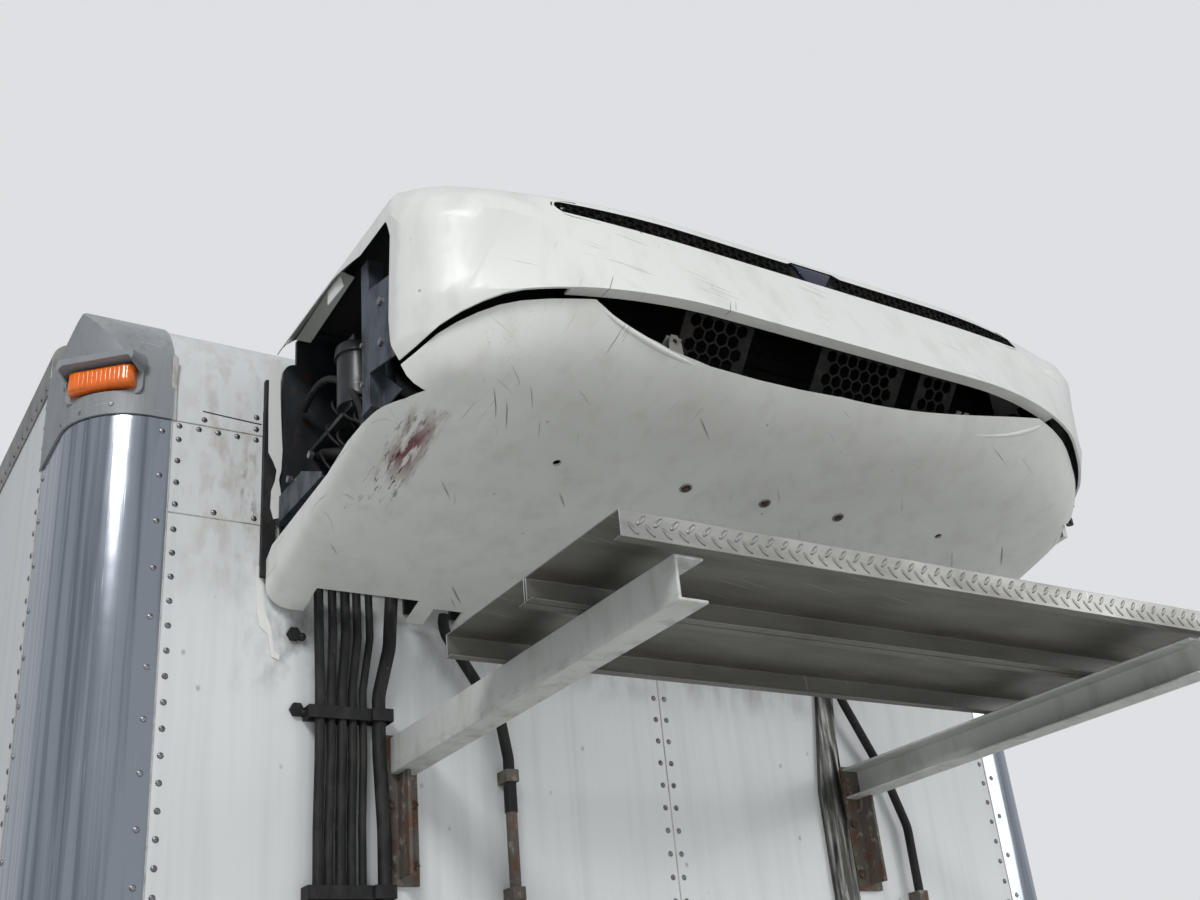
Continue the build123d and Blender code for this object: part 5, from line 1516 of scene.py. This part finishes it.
    def bay(self) -> None:
        """Hoses, wires, clamps and bolts that the open left bay shows."""
        hoses = (  # points and radius
            ([(-0.62, -0.36, 2.12), (-0.70, -0.33, 2.20), (-0.74, -0.28, 2.27), (-0.72, -0.20, 2.33),
              (-0.66, -0.14, 2.30), (-0.60, -0.10, 2.20)], 0.017),
            ([(-0.60, -0.42, 2.10), (-0.70, -0.40, 2.09), (-0.78, -0.34, 2.08), (-0.80, -0.24, 2.10),
              (-0.80, -0.12, 2.16), (-0.80, -0.03, 2.20)], 0.013),
            ([(-0.58, -0.30, 2.30), (-0.66, -0.34, 2.36), (-0.76, -0.36, 2.34), (-0.80, -0.38, 2.24),
              (-0.79, -0.40, 2.12)], 0.010),
            ([(-0.84, -0.03, 2.30), (-0.84, -0.10, 2.33), (-0.83, -0.20, 2.30), (-0.81, -0.28, 2.20),
              (-0.82, -0.32, 2.08), (-0.80, -0.36, 2.02)], 0.008),
        )
        for index, (path, radius) in enumerate(hoses):
            self.kit.piece(f"bay_hose_{index}", tubes([path], radius, around=5), RUBBER)
        wires = []
        for k in range(7):
            y, z = -0.08 - 0.03 * k, 2.02 + 0.045 * (k % 3)
            wires.append([(-0.70 - 0.01 * k, y, z), (-0.77, y - 0.05, z + 0.06 + 0.01 * k),
                          (-0.83, y - 0.03, z + 0.12), (-0.80, y + 0.04, z + 0.2),
                          (-0.70, y + 0.06, z + 0.22)])
        self.kit.piece("bay_wires", tubes(wires, 0.003), RUBBER)
        left = (-1, 0, 0)
        post = spots((-0.883, -0.455, 2.2167), (-0.883, -0.455, 2.13), 2, left)
        self.kit.heads("post_bolts", post, ZINC, Scatter(0.0055, 0.003, head=Head.HEX))
        rows = [((-0.895, -0.10, 2.09), (-0.895, -0.22, 2.09), left),
                ((-0.8832, -0.546, 2.175), (-0.8832, -0.546, 2.265), left)]
        self.kit.heads("bay_bolts", rows, ZINC, Scatter(0.0085, 0.005, 0.09, Head.HEX))

    def bay_edge(self) -> None:
        """Torn white flange along the bay's rear edge, the flange and bracket over it and loose strips."""
        edge = (
            (-0.914, 2.425), (-0.889, 2.425), (-0.888, 2.33), (-0.884, 2.25), (-0.881, 2.20), (-0.883, 2.15),
            (-0.888, 2.13), (-0.883, 2.10), (-0.880, 2.07), (-0.884, 2.04), (-0.898, 2.035), (-0.905, 2.06),
            (-0.904, 2.10), (-0.896, 2.125), (-0.893, 2.15), (-0.901, 2.17), (-0.912, 2.19), (-0.914, 2.3))
        flange = prism([(x, -0.0143, z) for x, z in edge], (0, -0.0015, 0))
        self.kit.piece("torn_flange", flange, GELCOAT)
        seal = slab((-0.921, -0.0143, SEAM + 0.058), (-0.912, -0.0003, SEAM + 0.135), 0.002)
        self.kit.piece("seal_top", seal, RUBBER)
        hanging = (
            (-0.928, 1.93), (-0.914, 1.93), (-0.905, 1.83), (-0.893, 1.80), (-0.886, 1.75), (-0.874, 1.742),
            (-0.876, 1.732), (-0.892, 1.738), (-0.900, 1.785), (-0.918, 1.80), (-0.925, 1.84))
        strip = prism([(x, -0.0004, z) for x, z in hanging], (0, -0.002, 0))
        self.kit.piece("torn_strip", strip, GELCOAT)
        fitting = slab((-0.812, -0.245, SEAM + 0.125), (-0.77, -0.2, SEAM + 0.152), 0.004)
        self.kit.piece("filter_fitting", fitting, ZINC)
        lip = prism([(-0.876, -0.335, 2.468), (-0.842, -0.325, 2.468), (-0.822, -0.022, 2.484),
                     (-0.856, -0.022, 2.484)], (0, 0, 0.002), 0.0006)
        self.kit.piece("bay_lip", lip, LINER)
        outline = [(-0.885, -0.375 + y, SEAM + 0.168 + z) for y, z in (
            (0, 0), (0.085, 0.004), (0.085, 0.040), (0.012, 0.034))]
        self.kit.piece("bay_corner_bracket", prism(outline, (-0.003, 0, 0), 0.0008), GELCOAT)

    def door_fittings(self) -> None:
        """Latch with its paddle and the screws of the hinge leaves on the right door."""
        x, door = UNIT_HALF, "service_door"
        table = (  # piece, finish, start, thickness, edge rounding, outline (y, height over the seam)
            ("door_latch_plate", ZINC, x, 0.003, 0.001, (
                (-0.12, -0.02), (-0.05, -0.02), (-0.05, 0.09), (-0.12, 0.09))),
            ("door_latch_paddle", FAN, x + 0.003, 0.006, 0.002, (
                (-0.108, 0.0), (-0.062, 0.0), (-0.066, 0.062), (-0.104, 0.062))),
        )
        for name, finish, near, deep, edge, outline in table:
            self.kit.piece(name, prism([(near, y, SEAM + rise) for y, rise in outline], (deep, 0, 0), edge),
                           finish, door)
        rows = [((x, -0.575, SEAM + rise), (x, -0.575, SEAM + rise + 0.025), (1, 0, 0))
                for rise in (0.03, -0.15)]
        self.kit.heads("door_screws", rows, ZINC, Scatter(0.0055, 0.002, 0.022, Head.PAN), door)


@dataclass
class Evaporator:
    """Evaporator in the load space, with guarded fans."""
    kit: Kit
    back: float = 0.4203
    fan_x: float = 0.30
    middle: float = SEAM - 0.11
    guard: float = 0.13                                    # radius of a guard's outer ring
    spoke: float = 0.138
    bulge: float = 0.0105
    screw_out: float = 0.1                                 # screws off a fan's middle, across and up

    def dress(self) -> None:
        """Dress the case and its fans."""
        self.kit.dressed("evaporator_housing", 0.002)
        self.kit.dressed("fan_motors", 0.002)
        for _, name in SIDES:
            self.kit.dressed(f"evaporator_fan_{name}", 0.0008, body=f"fan_{name}")
        self.guards()

    def guards(self) -> None:
        """Wire guards over both fans, screwed to the case."""
        rings, spokes, rows = [], [], []
        for side, _ in SIDES:
            cx = side * self.fan_x
            for radius in (0.03, 0.055, 0.08, 0.105, self.guard):
                lift = 0.012 - self.bulge * (radius / self.guard) ** 3
                centre = Vector((cx, self.back + lift, self.middle))
                rings.append(circle(centre, Vector((1, 0, 0)), Vector(UP), radius, 40))
            for k in range(4):
                c, s = math.cos(k * math.pi / 4 + 0.2), math.sin(k * math.pi / 4 + 0.2)
                spokes.append([(cx + t * c, self.back + 0.0135 - self.bulge * abs(t / self.spoke) ** 3,
                                self.middle + t * s)
                               for t in (-self.spoke, -0.1, -0.05, 0.0, 0.05, 0.1, self.spoke)])
            for x in (cx - self.screw_out, cx + self.screw_out):
                for z in (self.middle - self.screw_out, self.middle + self.screw_out):
                    rows.append(((x, self.back, z), (x + 0.001, self.back, z), REAR))
        self.kit.piece("fan_guard_rings", tubes(rings, 0.0016, True), ZINC)
        self.kit.piece("fan_guard_spokes", tubes(spokes, 0.0018), ZINC)
        rows = [((-0.62, self.back, z), (0.62, self.back, z), REAR) for z in (SEAM - 0.25, SEAM + 0.03)]
        self.kit.heads("case_screws", rows, ZINC, Scatter(0.006, 0.002, 0.155, Head.PAN))


@dataclass
class Platform:
    """Two diamond-tread planks on two channel arms with wall brackets."""
    kit: Kit
    top: float = SEAM - 0.605
    plank_half: float = 0.75
    front: float = -1.066
    width: float = 0.282
    space: float = 0.004
    drop: float = 0.044

    def dress(self) -> None:
        """Dress planks, arms and brackets."""
        for _, name in SIDES:
            self.kit.dressed(f"platform_arm_{name}", 0.0025)
            self.kit.dressed(f"arm_bracket_{name}", 0.0015)
        for name in ("front", "rear"):
            self.kit.dressed(f"platform_plank_{name}", 0.0012)
        self.lugs()
        self.bolts()

    def lugs(self) -> None:
        """Raised lugs on the planks' tops and front flanges."""
        length, quarter = 2 * self.plank_half - 0.03, Matrix.Rotation(math.pi / 2, 4, "X")
        meshes = []
        for index in range(2):
            low = self.front + index * (self.width + self.space)
            top = Matrix.Translation((0, low + self.width / 2, self.top))
            flange = Matrix.Translation((0, low, self.top - self.drop / 2)) @ quarter
            meshes.append(Tread().mesh((length, self.width - 0.02), top, MILL))
            meshes.append(Tread().mesh((length, self.drop), flange, MILL))
        for index, mesh in enumerate(meshes):
            self.kit.piece(f"tread_{index}", mesh, MILL)

    def bolts(self) -> None:
        """Bolts of the brackets and clips of the planks."""
        rows = []
        for side, _ in SIDES:
            for dx in (-0.026, 0.026):
                x = side * 0.6185 + dx
                rows.append(((x, -0.0103, 1.33), (x, -0.0103, 1.45), FRONT))
        self.kit.heads("bracket_bolts", rows, RUST, Scatter(0.010, 0.007, 0.12, Head.HEX))
        rows = [((side * 0.612, y, self.top), (side * 0.6125, y, self.top), UP) for side, _ in SIDES
                for y in (-1.03, -0.82, -0.745, -0.53)]
        self.kit.heads("plank_bolts", rows, ZINC, Scatter(0.0095, 0.005, 0.1, Head.PAN))


@dataclass
class Hoses:
    """Clipped hoses, clips and couplings."""
    kit: Kit

    def dress(self) -> None:
        """Dress clips, couplings and the duct, and add the pipe's sleeve and the wall's studs."""
        for node in ("hose_clips", "pipe_clips", "coupling_block", "coupling_block_right"):
            self.kit.dressed(node, 0.0008)
        self.kit.dressed("wall_duct", 0.003, segments=3)
        low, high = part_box("drain_pipe")
        x, y = (low.x + high.x) / 2, (low.y + high.y) / 2
        sleeve = tubes([[(x, y, high.z - drop) for drop in (0.075, 0.03, 0.002)]],
                       (high.x - low.x) / 2 + 0.002, around=6, smooth=False)
        self.kit.piece("drain_sleeve", sleeve, RUBBER)
        studs = spots((-0.838, 0, 1.632), (-0.846, 0, 1.79), 2, FRONT)
        self.kit.heads("wall_studs", studs, RUBBER, Scatter(0.015, 0.009, head=Head.HEX))
        caps = spots((-0.824, -0.006, 1.625), (-0.829, -0.006, 1.785), 2, (0.3, -0.9, 0.2))
        self.kit.heads("stud_caps", caps, RUBBER, Scatter(0.009, 0.009))


def paint_nodes(frame: dict) -> None:
    """Give every CAD node its finish.
    """
    for name, finish in FINISH_OF.items():
        node = frame["nodes"].get(name)
        if node is None:
            log.warning("no node %s", name)
            continue
        node.data.materials.clear()
        node.data.materials.append(finish.build())


def main() -> None:
    """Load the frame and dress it."""
    logging.basicConfig(level=logging.INFO, format="%(message)s")
    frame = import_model()
    Studio().build()
    paint_nodes(frame)
    kit = Kit(frame)
    for part in (Body(kit), Unit(kit), Evaporator(kit), Platform(kit), Hoses(kit)):
        part.dress()
        log.info("%s dressed", type(part).__name__)
    log.info("%d triangles in %d pieces", sum(kit.counts.values()), len(kit.counts))


if __name__ == "__main__":
    main()
